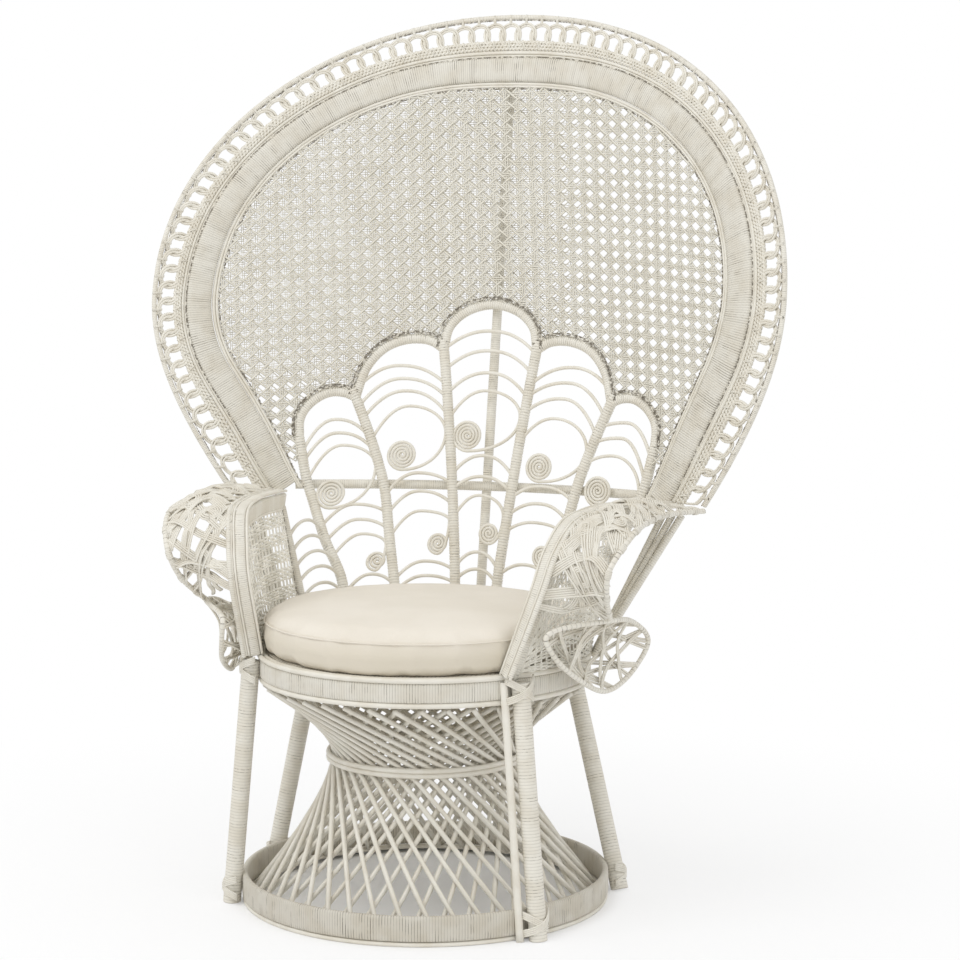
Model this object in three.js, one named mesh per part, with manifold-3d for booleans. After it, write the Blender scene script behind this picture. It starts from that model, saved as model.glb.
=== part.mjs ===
// Peacock chair of painted rattan: a woven hourglass base in wrapped hoops, a round seat with a loose
// cushion, and a tall oval fan back with scalloped petals, scrolls and openwork arms. Millimetres, +Z up,
// front to -Y.
import * as THREE from 'three';
import Module from 'manifold-3d';
import { mergeVertices } from 'three/addons/utils/BufferGeometryUtils.js';

const wasm = await Module();
wasm.setup();

// Clearances, and how finely round things are cut
const clearance = 0.3;
const weldTolerance = 1e-3;
const hoopSides = 30;
const cushionSides = 24;
const caneSides = 5;
const thinSides = 4;
const poleSides = 12;

// Canes and poles
const caneRadius = 4.4;
const rodRadius = 4.2;
const legRadius = 15;
const sidePoleRadius = 6.5;
const stemRadius = 9;
const archRadius = 7.5;
const scrollRadius = 3;
const crossBarRadius = 8.5;
const rearPostRadius = 8.5;
const armPostRadius = 7.5;
const stayRadius = 6;

// Base
const baseRadius = 308;
const baseWall = 11;
const baseHoopHeight = 7.4;
const baseHoopWidth = 9;
const baseHoopChamfer = 1.2;
const baseRingTop = 50;
const bandEase = 1.5;
const hoopWeld = 0.3;
const tieHeight = 9;
const tieWidth = 9;
const tieLift = 3;

// Hourglass of rods bent at the waist, in two crossing layers, the inner one set in by layerStep
const rodsInGroup = 6;
const groupsInLayer = 5;
const lowerTwist = THREE.MathUtils.degToRad(50);
const upperTwist = THREE.MathUtils.degToRad(54);
const groupGap = THREE.MathUtils.degToRad(0.5);
const waistRodRadius = 152;
const waistHeight = 243;
const waistEase = 0.8;
const layerStep = { foot: 13, waist: 9.4, head: 16.5 };

// Seat
const seatRadius = 277;
const seatWall = 11;
const seatBandBottom = 380;
const seatBandTop = 412;
const deckThickness = 14;
const deckEaseWidth = 6.5;
const deckEaseDrop = 1;
const bearerHeight = 17;
const bearerWidth = 34;
const bearerSpread = 110;
const cushionHalfWidth = 266;
const cushionFront = 274;
const cushionBack = 254;
const cushionShift = 3;
const cushionSide = 54;
const cushionCrown = 26;
const cushionSeam = 4;
const cushionDrawIn = 7;
const cushionCrownShares = [[0.86, 0.5], [0.6, 0.84], [0.3, 0.97]];

// Legs: foot and head angles from the front, towards +X
const legs = {
  front_left: { foot: -64, head: -62 },
  front_right: { foot: 52, head: 50 },
  back_right: { foot: 112, head: 142 },
  back_left: { foot: -106, head: -121 },
};
const legHeadDrop = 3;
const legHeadHeight = seatBandTop - legHeadDrop;
const poleNotch = 2.2;

// Fan outline and its surface
const overallHeight = 1500;
const fanHalfWidth = 570;
const widestHeight = 1000;
const fanEndHeight = 652;
const fanEndHalfWidth = 435;
const shoulderHeight = 880;
const flankHalfWidth = 505;
const flankHeight = 760;
const roundShare = 0.95;
const backFoot = 268;
const backLean = 226;
const fanWing = 222;
const seatWing = 84;
const seatWingHalfWidth = 200;
const straightenHeight = 820;
const endSqueezeShare = 0.096;
// Widths of the border and the band along the outline from its left end, as shares of the top's
const borderShares = [1, 0.62, 0.65, 0.76, 0.88, 1, 0.9, 0.83, 0.8, 0.86, 1];
const bandShares = [1, 0.86, 0.85, 0.88, 0.95, 1, 1.02, 1.05, 1.06, 1.05, 1];
const outlineSteps = 28;

// Layers of the fan, inwards from its outline
const rimRadius = 4.5;
const borderWidth = 46;
const railWidth = 22;
const bandWidth = 45;
const borderThickness = 8;
const railThickness = 10;
const bandThickness = 18;
const panelThickness = 3;
const borderLoops = 44;
const borderHoleShare = 0.62;
const fanSteps = borderLoops;
const panelStartHeight = 778;
const panelLift = 18;
const panelEase = 3.9;
const panelCells = { front: [15, 4], back: [10, 2] };
const panelHoleShare = 0.64;

// A table drawn on a grid of steps, as lengths
const sized = (table, grid) => table.map((entry) => {
  if (typeof entry === 'number') return entry * grid;
  return Object.fromEntries(Object.entries(entry).map(([key, value]) =>
    [key, Array.isArray(value) ? sized(value, grid) : value * grid]));
});

// Petals, on a grid of steps up to the middle petal's tip: halves of the five scallops, and the stems between
const middleApex = 979;
const apexSteps = 979;
const petalGrid = middleApex / apexSteps;
const petalValleys = sized([{ u: 87, z: 900 }, { u: 238, z: 813 }], petalGrid);
const [middleShoulder, middleBow] = sized([{ u: 79, z: 938 }, { u: 50, z: 966 }], petalGrid);
const innerArch = sized([
  { u: 112, z: 914 }, { u: 152, z: 916 }, { u: 192, z: 901 }, { u: 222, z: 866 },
], petalGrid);
const outerArch = sized([
  { u: 258, z: 821 }, { u: 284, z: 821 }, { u: 312, z: 804 }, { u: 328, z: 778 },
], petalGrid);
const innerStem = sized([
  { u: 80, z: 852 }, { u: 66, z: 745 }, { u: 55, z: 650 }, { u: 40, z: 500 },
], petalGrid);
const outerStem = sized([
  { u: 205, z: 735 }, { u: 180, z: 662 }, { u: 163, z: 583 }, { u: 142, z: 490 },
], petalGrid);
const edgeStem = sized([{ u: 306, z: 652 }, { u: 268, z: 573 }, { u: 224, z: 499 }], petalGrid);
const stemFeet = sized([36, 130, 205], petalGrid);
const outerArchEnd = 742;
const stemHeadRise = 15;
const crossBarHeight = 660;
const crossBarHalfWidth = 328;
const rearPostDrop = 100;
const rearPostTop = overallHeight - rearPostDrop;
const rearPostFoot = 385;

// Thin arches and scrolls of each compartment, left to right: heights where arches spring, and scroll centres
const scrollwork = sized([
  { arches: [716, 592, 560], scrolls: [{ z: 642, size: 25 }, { z: 520, size: 17 }] },
  { arches: [800, 766, 612, 584], scrolls: [{ z: 708, size: 25 }, { z: 543, size: 17 }] },
  { arches: [868, 834, 800, 618, 590], scrolls: [{ z: 747, size: 25 }, { z: 553, size: 17 }] },
  { arches: [800, 766, 612, 584], scrolls: [{ z: 698, size: 25 }, { z: 543, size: 17 }] },
  { arches: [716, 592, 560], scrolls: [{ z: 655, size: 25 }, { z: 520, size: 17 }] },
], petalGrid);
const archRiseShare = 0.36;
const scrollPitch = 8.4;
const scrollEye = 5;
const coilSteps = 6;
const weldDepth = 3;

// Arms, on a grid of steps up to the fan's ends: the right edge's path from the fan to the seat hoop
const fanEndSteps = 652;
const armGrid = fanEndHeight / fanEndSteps;
const armEdge = sized([
  { x: 342, y: 227, z: 650.5 }, { x: 318, y: 165, z: 658 },
  { x: 296, y: 90, z: 665 }, { x: 281, y: -40, z: 668 },
  { x: 268, y: -122, z: 656 }, { x: 252, y: -164, z: 612 }, { x: 240, y: -186, z: 560 },
], armGrid);
const armFootAngle = { left: -58, right: 44 };
const armFootRadius = 276;
const armBandWidth = 26;
const armBandThickness = 8;
const armSteps = 20;
const armPostAngle = 113;
const armPostShare = 0.17;
const armPanelEndShare = 0.9;
const armPanelThickness = 4;
const armPanelEase = 1.6;
const armPanelColumns = 4;
const armPanelRows = 3;
const armPanelHoleShare = 0.55;

// Openwork ruffle outside each arm, and the cup under it
const ruffleRim = sized([
  { x: 432, y: 180, z: 645 }, { x: 402, y: 86, z: 650 },
  { x: 400, y: -108, z: 655 }, { x: 391, y: -168, z: 638 },
  { x: 370, y: -207, z: 594 }, { x: 360, y: -183, z: 550 }, { x: 347, y: -111, z: 502 },
], armGrid);
const ruffleEndShare = 0.8;
const ruffleBulge = 22;
const ruffleThickness = 6;
const ruffleEase = 3.6;
const ruffleColumns = 6;
const ruffleRows = 2;
const ruffleHoleShare = 0.6;
const cupRim = sized([
  { x: 346, y: -112, z: 500.5 }, { x: 362, y: -10, z: 482 },
  { x: 371, y: 46, z: 442 }, { x: 352, y: 20, z: 398 },
  { x: 328, y: -48, z: 376 }, { x: 306, y: -140, z: 408 },
  { x: 280, y: -200, z: 456 }, { x: 272, y: -214, z: 488 },
], armGrid);
const cupDepth = 34;
const cupSpokes = 7;
const cupHubShare = 0.3;
const cupHoleShare = 0.6;

// Rear side stays from the fan's ends to the seat hoop
const staySpacing = 16;
const [stayTop] = sized([{ x: 386, y: 150, z: 640 }], armGrid);
const stayFootAngle = 103;
const stayCount = 3;

const vector = (x, y, z) => new THREE.Vector3(x, y, z);
const radians = THREE.MathUtils.degToRad;

// A point at a radius and an angle from the front, towards +X
function around(radius, angle, z) {
  return vector(radius * Math.sin(angle), -radius * Math.cos(angle), z);
}

function polygon(radius, sides) {
  const points = [];
  for (let i = 0; i < sides; i++) {
    const angle = (i * 2 * Math.PI) / sides;
    points.push(new THREE.Vector2(radius * Math.cos(angle), radius * Math.sin(angle)));
  }
  return new THREE.Shape(points);
}

// A tube cut level where it would go under the top of the seat hoops
function seatedTube(points, radius, sides, steps) {
  const floor = hoopTop + clearance;
  return bend(tube(points, radius, sides, steps), (x, y, z) => vector(x, y, Math.max(z, floor)));
}

function tube(points, radius, sides, steps) {
  const straight = points.length === 2;
  const extrudePath = straight
    ? new THREE.LineCurve3(points[0], points[1])
    : new THREE.CatmullRomCurve3(points, false, 'centripetal');
  return new THREE.ExtrudeGeometry(polygon(radius, sides), { steps, bevelEnabled: false, extrudePath });
}

// A pole whose two ends are level, so that it stands flat
function standingPole(foot, head, radius, sides) {
  const rise = head.z - foot.z;
  const pole = new THREE.CylinderGeometry(radius, radius, rise, sides, 1);
  pole.rotateX(Math.PI / 2);
  return bend(pole, (x, y, z) => {
    const share = z / rise + 1 / 2;
    return vector(x, y, 0).add(foot.clone().lerp(head, share));
  });
}

// Moves every vertex of a flat or straight geometry to its place
function bend(geometry, place) {
  const position = geometry.attributes.position;
  for (let i = 0; i < position.count; i++) {
    const target = place(position.getX(i), position.getY(i), position.getZ(i));
    position.setXYZ(i, target.x, target.y, target.z);
  }
  geometry.computeVertexNormals();
  return geometry;
}

// A flat bar over x 0 to 1, y from..to and z -thickness/2..thickness/2, bent into place
function strip(from, to, thickness, steps, place) {
  const bar = new THREE.BoxGeometry(1, to - from, thickness, steps, 1, 1);
  return bend(bar, (x, y, z) => place(x + 1 / 2, y + (from + to) / 2, z));
}

// A net over x 0 to 1 and y 0 to 1, with one four-sided gap in each cell
function net({ columns, rows, holeShare, thickness, closed = false, place }) {
  const positions = [];
  const at = (corner, z) => place(corner[0] / columns, corner[1] / rows, z);
  const quad = (a, b, c, d) => {
    for (const point of [a, b, c, a, c, d]) positions.push(point.x, point.y, point.z);
  };
  const front = thickness / 2;
  const back = -thickness / 2;
  for (let i = 0; i < columns; i++) {
    for (let j = 0; j < rows; j++) {
      const outer = [[i, j], [i + 1, j], [i + 1, j + 1], [i, j + 1]];
      const middle = [i + 1 / 2, j + 1 / 2];
      const shrunk = (value, k) => middle[k] + (value - middle[k]) * holeShare;
      const inner = outer.map((corner) => corner.map(shrunk));
      const edges = [j === 0, i === columns - 1 && !closed, j === rows - 1, i === 0 && !closed];
      for (let k = 0; k < outer.length; k++) {
        const next = (k + 1) % outer.length;
        quad(at(outer[k], front), at(outer[next], front), at(inner[next], front), at(inner[k], front));
        quad(at(outer[next], back), at(outer[k], back), at(inner[k], back), at(inner[next], back));
        quad(at(inner[k], front), at(inner[next], front), at(inner[next], back), at(inner[k], back));
        if (!edges[k]) continue;
        quad(at(outer[k], front), at(outer[k], back), at(outer[next], back), at(outer[next], front));
      }
    }
  }
  const geometry = new THREE.BufferGeometry();
  geometry.setAttribute('position', new THREE.Float32BufferAttribute(positions, 3));
  geometry.computeVertexNormals();
  return geometry;
}

function toSolid(geometry) {
  const bare = new THREE.BufferGeometry();
  bare.setAttribute('position', geometry.attributes.position.clone());
  if (geometry.index) bare.setIndex(geometry.index.clone());
  const welded = mergeVertices(bare, weldTolerance);
  return new wasm.Manifold(new wasm.Mesh({
    numProp: 3,
    vertProperties: Float32Array.from(welded.attributes.position.array),
    triVerts: Uint32Array.from(welded.index.array),
  }));
}

function toGeometry(solid) {
  const mesh = solid.getMesh();
  const geometry = new THREE.BufferGeometry();
  geometry.setAttribute('position', new THREE.Float32BufferAttribute(mesh.vertProperties, 3));
  geometry.setIndex(new THREE.Uint32BufferAttribute(mesh.triVerts, 1));
  geometry.computeVertexNormals();
  return geometry;
}

function joined(geometries) {
  return toGeometry(geometries.map(toSolid).reduce((whole, piece) => whole.add(piece)));
}

function cutBy(geometry, cutter) {
  return toGeometry(toSolid(geometry).subtract(toSolid(cutter)));
}

// The left-hand twin of a right-hand piece
function mirrored(geometry) {
  const flat = geometry.index ? geometry.toNonIndexed() : geometry.clone();
  flat.scale(-1, 1, 1);
  const values = flat.attributes.position.array;
  for (let i = 0; i < values.length; i += 9) {
    for (let k = 0; k < 3; k++) [values[i + k], values[i + 6 + k]] = [values[i + 6 + k], values[i + k]];
  }
  flat.computeVertexNormals();
  return flat;
}

function lathe(profile, segments = hoopSides) {
  const points = profile.map(([radius, z]) => new THREE.Vector2(radius, z));
  points.push(points[0].clone());
  const turned = new THREE.LatheGeometry(points, segments);
  turned.rotateX(Math.PI / 2);
  return turned;
}

// A wrapped band hoop of upright section with eased corners
function bandHoop(radius, wall, bottom, top) {
  const inner = radius - wall;
  return lathe([
    [radius - bandEase, bottom], [radius, bottom + bandEase],
    [radius, top - bandEase], [radius - bandEase, top],
    [inner, top], [inner, bottom],
  ]);
}

// One cane as a hoop, or two side by side, each place a radius and a height of the cane's middle
function caneHoop(places, radius) {
  const profile = [];
  const count = caneSides + 1;
  const [first, second] = places;
  const facing = second ? Math.atan2(second[1] - first[1], second[0] - first[0]) : 0;
  places.forEach(([middle, z], index) => {
    const steps = second ? count - 2 : count;
    const open = second ? (2 * Math.PI) / count : 0;
    for (let i = 0; i < steps; i++) {
      const along = i / (steps - (second ? 1 : 0));
      const angle = facing + index * Math.PI + open + along * (2 * Math.PI - 2 * open);
      profile.push([middle + radius * Math.cos(angle), z + radius * Math.sin(angle)]);
    }
  });
  return lathe(profile);
}

// Where the rods of the outer layer have their feet and heads
const rodFootRadius = baseRadius - baseWall - 2 * clearance - tieWidth / 2;
const rodHeadRadius = seatRadius - seatWall + rodRadius / 2;
const rodFootHeight = rodRadius + tieLift;
const rodHeadHeight = seatBandBottom - 2 * caneRadius - 2 * clearance - rodRadius;

// A rod through its foot, waist and head
function bentRod(stations) {
  const rod = new THREE.CylinderGeometry(rodRadius, rodRadius, 2, thinSides, 2);
  rod.rotateX(Math.PI / 2);
  return bend(rod, (x, y, z) => {
    const index = Math.round(z) + 1;
    const middle = stations[index];
    const along = stations[Math.min(index + 1, 2)].clone().sub(stations[Math.max(index - 1, 0)]).normalize();
    const outward = vector(middle.x, middle.y, 0).normalize();
    outward.addScaledVector(along, -outward.dot(along)).normalize();
    const across = along.clone().cross(outward);
    return middle.clone().addScaledVector(outward, x).addScaledVector(across, y);
  });
}

// A pole outside the base ring and the seat ring, which just clears the base ring's top
function outerPole(footAngle, headAngle, radius) {
  const headRadius = seatRadius + radius - poleNotch;
  const share = baseRingTop / legHeadHeight;
  const turn = headAngle - footAngle;
  const offset = headRadius * share * Math.sin(turn);
  const reach = Math.sqrt((baseRadius + radius - poleNotch) ** 2 - offset ** 2);
  const footRadius = (reach - headRadius * share * Math.cos(turn)) / (1 - share);
  const head = around(headRadius, headAngle, legHeadHeight);
  return notched(standingPole(around(footRadius, footAngle, 0), head, radius, poleSides));
}

// A pole notched where it lies against the base ring, the seat ring and the seat hoops
function notched(pole) {
  const base = bandHoop(baseRadius + clearance, baseWall, -clearance, baseRingTop + clearance);
  const seatTopEdge = seatBandTop + clearance;
  const seat = bandHoop(seatRadius + clearance, seatWall, seatBandBottom - clearance, seatTopEdge);
  const lower = caneHoop([[seatRadius - caneRadius, lowerHoopHeight]], caneRadius + clearance);
  const upper = caneHoop(topHoops, caneRadius + clearance);
  return [base, seat, lower, upper].reduce(cutBy, pole);
}

function rodGroup(step, turn, index) {
  const span = (2 * Math.PI) / groupsInLayer;
  const start = index * span;
  const pieces = [];
  for (let i = 0; i < rodsInGroup; i++) {
    const angle = start + ((i + 1 / 2) * span) / rodsInGroup;
    pieces.push(bentRod([
      around(rodFootRadius - step.foot, angle, rodFootHeight),
      around(waistRodRadius - step.waist, angle - turn * lowerTwist, waistHeight),
      around(rodHeadRadius - step.head, angle - turn * (lowerTwist + upperTwist), rodHeadHeight),
    ]));
  }
  const tieRadius = rodFootRadius - step.foot;
  const tie = strip(-tieWidth / 2, tieWidth / 2, tieHeight, rodsInGroup, (x, y, z) =>
    around(tieRadius - y, start + groupGap + x * (span - 2 * groupGap), z + tieHeight / 2 + tieLift));
  return joined([...pieces, tie]);
}

function cushion() {
  const waist = 1 - cushionDrawIn / cushionHalfWidth;
  const seam = 1 - cushionSeam / cushionHalfWidth;
  const top = cushionSide + cushionCrown;
  const profile = [
    [0, 0], [seam * waist, 0], [seam, cushionSide / 7], [waist + (1 - waist) / 2, cushionSide / 3],
    [1, cushionSide / 2], [waist + (1 - waist) / 2, (cushionSide * 5) / 6], [seam, cushionSide],
    [seam * waist, cushionSide + cushionCrown / 5],
    ...cushionCrownShares.map(([out, up]) => [out, cushionSide + cushionCrown * up]),
    [0, top],
  ];
  const outline = profile.map(([share, z]) => new THREE.Vector2(share, z));
  const turned = new THREE.LatheGeometry(outline, cushionSides);
  turned.rotateX(Math.PI / 2);
  return bend(turned, (x, y, z) => vector(
    x * cushionHalfWidth,
    y * (y < 0 ? cushionFront : cushionBack) - cushionShift,
    cushionBottom + z,
  ));
}

// The half outline of the fan from its top to its end: a rounded quarter, then a flank that tapers
function outlinePoints() {
  const half = [];
  for (let i = 0; i < outlineSteps; i++) {
    const angle = (Math.PI / 2) * (1 - i / outlineSteps);
    half.push(new THREE.Vector2(
      fanHalfWidth * Math.cos(angle) ** roundShare,
      widestHeight + (overallHeight - widestHeight) * Math.sin(angle) ** roundShare,
    ));
  }
  const flank = new THREE.CubicBezierCurve(
    new THREE.Vector2(fanHalfWidth, widestHeight),
    new THREE.Vector2(fanHalfWidth, shoulderHeight),
    new THREE.Vector2(flankHalfWidth, flankHeight),
    new THREE.Vector2(fanEndHalfWidth, fanEndHeight),
  );
  half.push(...flank.getPoints(outlineSteps / 2));
  const left = half.slice(1).reverse().map((point) => new THREE.Vector2(-point.x, point.y));
  return [...left, ...half];
}

const outline = new THREE.SplineCurve(outlinePoints());
outline.arcLengthDivisions = outlineSteps * 20;

const smooth = (value, low, high) => THREE.MathUtils.smoothstep(value, low, high);

// The middle surface of the back: it leans back, and its sides come forward, more so down at the seat
function backDepth(u, z) {
  const lean = (backLean * (z - seatTop)) / (overallHeight - seatTop);
  const share = smooth(z, seatTop, fanEndHeight);
  const fanBow = fanWing * (u / fanHalfWidth) ** 2;
  const seatBow = seatWing * (u / seatWingHalfWidth) ** 2;
  return backFoot + lean - fanBow * share - seatBow * (1 - share);
}

function backPoint(u, z, out = 0) {
  const middle = vector(u, backDepth(u, z), z);
  const across = vector(u + clearance, backDepth(u + clearance, z), z).sub(middle);
  const up = vector(u, backDepth(u, z + clearance), z + clearance).sub(middle);
  return middle.addScaledVector(across.cross(up).normalize(), out);
}

const shareCurve = (shares) => new THREE.SplineCurve(shares.map((share, i) => new THREE.Vector2(i, share)));
const borderCurve = shareCurve(borderShares);
const bandCurve = shareCurve(bandShares);

// Depth of a layer where the border and the wrapped band are narrower than at the fan's top
function narrowed(share, depth) {
  const within = (from, to) => THREE.MathUtils.clamp(depth, from, to) - from;
  return Math.min(depth, borderFrom)
    + within(borderFrom, railTo) * borderCurve.getPoint(share).y
    + within(railTo, bandTo) * bandCurve.getPoint(share).y
    + Math.max(depth - bandTo, 0);
}

// A point of the fan at a share of its outline, at a depth inwards from it
function layerPoint(share, depth) {
  const point = outline.getPointAt(share);
  const tangent = outline.getTangentAt(share);
  const fade = smooth(point.y, fanEndHeight, straightenHeight);
  const inward = new THREE.Vector2(tangent.y, -tangent.x * fade).normalize();
  const reach = narrowed(share, depth) * (1 - endSqueezeShare * (1 - fade));
  return point.addScaledVector(inward, reach);
}

function fanPlace(share, depth, out) {
  const point = layerPoint(share, depth);
  return backPoint(point.x, point.y, out);
}

// Half width of a fan layer at a height under the widest part
function layerHalfWidth(depth, z) {
  let low = 1 / 2;
  let high = 1;
  for (let i = 0; i < outlineSteps; i++) {
    const middle = (low + high) / 2;
    if (layerPoint(middle, depth).y > z) low = middle;
    else high = middle;
  }
  return layerPoint(low, depth).x;
}

function layerShareAt(depth, z) {
  let low = 1 / 2;
  let high = 1;
  for (let i = 0; i < outlineSteps; i++) {
    const middle = (low + high) / 2;
    if (layerPoint(middle, depth).y > z) low = middle;
    else high = middle;
  }
  return low;
}

const caneFace = caneRadius * Math.cos(Math.PI / (caneSides + 1));
const topHoopHeight = seatBandTop + clearance + caneFace;
const topHoops = [
  [seatRadius - bandEase, topHoopHeight],
  [seatRadius - bandEase - 2 * (caneRadius - hoopWeld), topHoopHeight],
];
const hoopTop = topHoopHeight + caneFace;
const lowerHoopHeight = seatBandBottom - clearance - caneFace;
const seatTop = hoopTop;
const cushionBottom = hoopTop + clearance;
const borderFrom = 2 * rimRadius + clearance;
const borderTo = borderFrom + borderWidth;
const railFrom = borderTo + clearance;
const railTo = railFrom + railWidth;
const bandFrom = railTo + clearance;
const bandTo = bandFrom + bandWidth;
const edgingMiddle = bandTo + 3 * clearance + caneRadius;
const panelFrom = edgingMiddle + caneRadius + 2 * clearance;
const panelOut = archRadius + panelThickness / 2 - 3 * clearance;

function fanTube(depth, radius, sides) {
  const points = [];
  for (let i = 0; i <= fanSteps; i++) points.push(fanPlace(i / fanSteps, depth, 0));
  return tube(points, radius, sides, fanSteps);
}

const onBack = (points, out = 0) => points.map(({ u, z }) => backPoint(u, z, out));
const toLeft = (points) => points.map(({ u, z }) => ({ u: -u, z }));

// Outlines of the five petals from left to right
function petalPaths() {
  const [inner, outer] = petalValleys;
  const half = [inner, middleShoulder, middleBow];
  const middle = [...toLeft(half), { u: 0, z: middleApex }, ...half.slice().reverse()];
  const second = [inner, ...innerArch, outer];
  const endHalfWidth = Math.min(outerArch.at(-1).u, edgeHalfWidth(outerArchEnd));
  const third = [outer, ...outerArch, { u: endHalfWidth, z: outerArchEnd }];
  return [toLeft(third).reverse(), toLeft(second).reverse(), middle, second, third];
}

const edgeHalfWidth = (z) => layerHalfWidth(panelFrom + stemRadius, z);

// Stem lines from left to right, from their heads to the seat hoop
function stemPaths() {
  const foot = (index) => ({ u: stemFeet[index], z: hoopTop });
  const [inner, outer] = petalValleys;
  const headOver = (valley, next) => {
    const rise = new THREE.Vector2(valley.u - next.u, valley.z - next.z).setLength(stemHeadRise);
    return { u: valley.u + rise.x, z: valley.z + rise.y };
  };
  const first = [headOver(inner, innerStem[0]), ...innerStem, foot(0)];
  const second = [headOver(outer, outerStem[0]), ...outerStem, foot(1)];
  const head = { u: petalPaths()[4].at(-1).u, z: outerArchEnd };
  const third = [head, ...edgeStem, foot(2)];
  return [toLeft(third), toLeft(second), toLeft(first), first, second, third];
}

// Where a stem stands at a height
function stemAt(path, z) {
  const curve = new THREE.SplineCurve(path.map((point) => new THREE.Vector2(point.u, point.z)));
  let low = 0;
  let high = 1;
  for (let i = 0; i < outlineSteps; i++) {
    const middle = (low + high) / 2;
    if (curve.getPoint(middle).y > z) low = middle;
    else high = middle;
  }
  return curve.getPoint(low).x;
}

// A wrapped arch, cut clear of the heads of the stems that carry it
function petalArch(path, index) {
  const last = index === scrollwork.length - 1;
  const whole = last ? [...path, ...stems.at(-1).slice(1)] : path;
  const carried = last ? stems.slice(0, -1) : stems;
  const bore = stemRadius + clearance;
  const heads = carried.map((stem) => tube(onBack(stem), bore, caneSides + 1, stem.length + 2));
  return cutBy(seatedTube(onBack(whole), archRadius, caneSides + 1, whole.length + 3), joined(heads));
}

function thinArch(left, right, spring) {
  const from = stemAt(left, spring) + stemRadius - weldDepth;
  const to = stemAt(right, spring) - stemRadius - clearance - scrollRadius;
  const rise = (to - from) * archRiseShare;
  const shoulders = [1 / 8, 1 / 2, 7 / 8];
  const points = [{ u: from, z: spring }];
  for (const share of shoulders) {
    points.push({ u: from + (to - from) * share, z: spring + rise * Math.sin(Math.PI * share) ** (1 / 2) });
  }
  points.push({ u: to, z: spring });
  return tube(onBack(points), scrollRadius, thinSides, points.length + 1);
}

// A flat spiral: an upper one hangs on the left stem with its lead to the right, a lower one is central
function scroll(left, right, { z, size }, upper) {
  const leftEdge = stemAt(left, z) + stemRadius;
  const rightEdge = stemAt(right, z) - stemRadius;
  const hung = leftEdge + size - scrollPitch / 4 + scrollRadius - weldDepth;
  const middle = upper ? hung : (leftEdge + rightEdge) / 2;
  const reach = upper ? rightEdge - clearance - scrollRadius - middle : middle - leftEdge + weldDepth;
  const side = upper ? 1 : -1;
  const turns = (size - scrollEye) / scrollPitch;
  const lead = [0, 1 / 6, 1 / 3].map((share) => ({
    angle: share * Math.PI,
    radius: THREE.MathUtils.lerp(reach, size, Math.sin(share * Math.PI)),
  }));
  const steps = Math.round(turns * coilSteps);
  const coil = [];
  for (let i = 0; i <= steps; i++) {
    const share = i / steps;
    const angle = Math.PI / 2 + share * turns * 2 * Math.PI;
    coil.push({ angle, radius: size - (size - scrollEye) * share });
  }
  const points = [...lead, ...coil].map(({ angle, radius }) => ({
    u: middle + side * radius * Math.cos(angle),
    z: z + radius * Math.sin(angle),
  }));
  return tube(onBack(points), scrollRadius, thinSides, points.length);
}

function stemWithScrolls(index) {
  const left = stems[index];
  const right = stems[index + 1];
  const { arches, scrolls } = scrollwork[index];
  return joined([
    seatedTube(onBack(left), stemRadius, caneSides + 1, left.length + 2),
    ...arches.map((spring) => thinArch(left, right, spring)),
    ...scrolls.map((curl, place) => scroll(left, right, curl, place === 0)),
  ]);
}

// The woven panel between the petals' tops and the band
function panel([columns, rows], out) {
  const flat = ({ u, z }) => new THREE.Vector2(u, z);
  const paths = petalPaths().map((path) => new THREE.SplineCurve(path.map(flat)));
  const end = layerShareAt(panelFrom, panelStartHeight);
  const base = new THREE.Vector2(0, crossBarHeight);
  const lower = (x) => {
    const petal = Math.min(Math.floor(x * paths.length), paths.length - 1);
    const point = paths[petal].getPointAt(x * paths.length - petal);
    const away = point.clone().sub(base).normalize();
    return point.addScaledVector(away, panelLift);
  };
  return net({
    columns,
    rows,
    holeShare: panelHoleShare,
    thickness: panelThickness,
    place: (x, y, z) => {
      const upper = layerPoint(1 - end + (2 * end - 1) * x, panelFrom);
      const point = lower(x).lerp(upper, y);
      return backPoint(point.x, point.y, out + z);
    },
  });
}

// Right arm's edge, with the foot of the arm at an angle on the seat hoop
function armPath(footAngle) {
  const points = armEdge.map(({ x, y, z }) => vector(x, y, z));
  points.push(around(armFootRadius, radians(Math.abs(footAngle)), hoopTop + clearance));
  return new THREE.CatmullRomCurve3(points, false, 'centripetal');
}

function armFrame(path, share) {
  const point = path.getPointAt(share);
  const tangent = path.getTangentAt(share);
  const outward = vector(point.x, point.y, 0).normalize();
  outward.addScaledVector(tangent, -outward.dot(tangent)).normalize();
  const inside = outward.clone().cross(tangent);
  return { point, outward, inside };
}

function armPlace(path, share, depth, out) {
  const { point, outward, inside } = armFrame(path, share);
  const place = point.addScaledVector(inside, depth).addScaledVector(outward, out);
  place.z = Math.max(place.z, hoopTop + clearance);
  return place;
}

function armBand(path) {
  return strip(0, armBandWidth, armBandThickness, armSteps, (x, y, z) => armPlace(path, x, y, z));
}

const armPostFoot = around(armFootRadius - armBandThickness / 2, radians(armPostAngle), hoopTop + clearance);

function armPost(path) {
  const head = armPlace(path, armPostShare, armBandWidth, 0);
  head.z -= armBandThickness / 2;
  return standingPole(armPostFoot, head, armPostRadius, poleSides);
}

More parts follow.
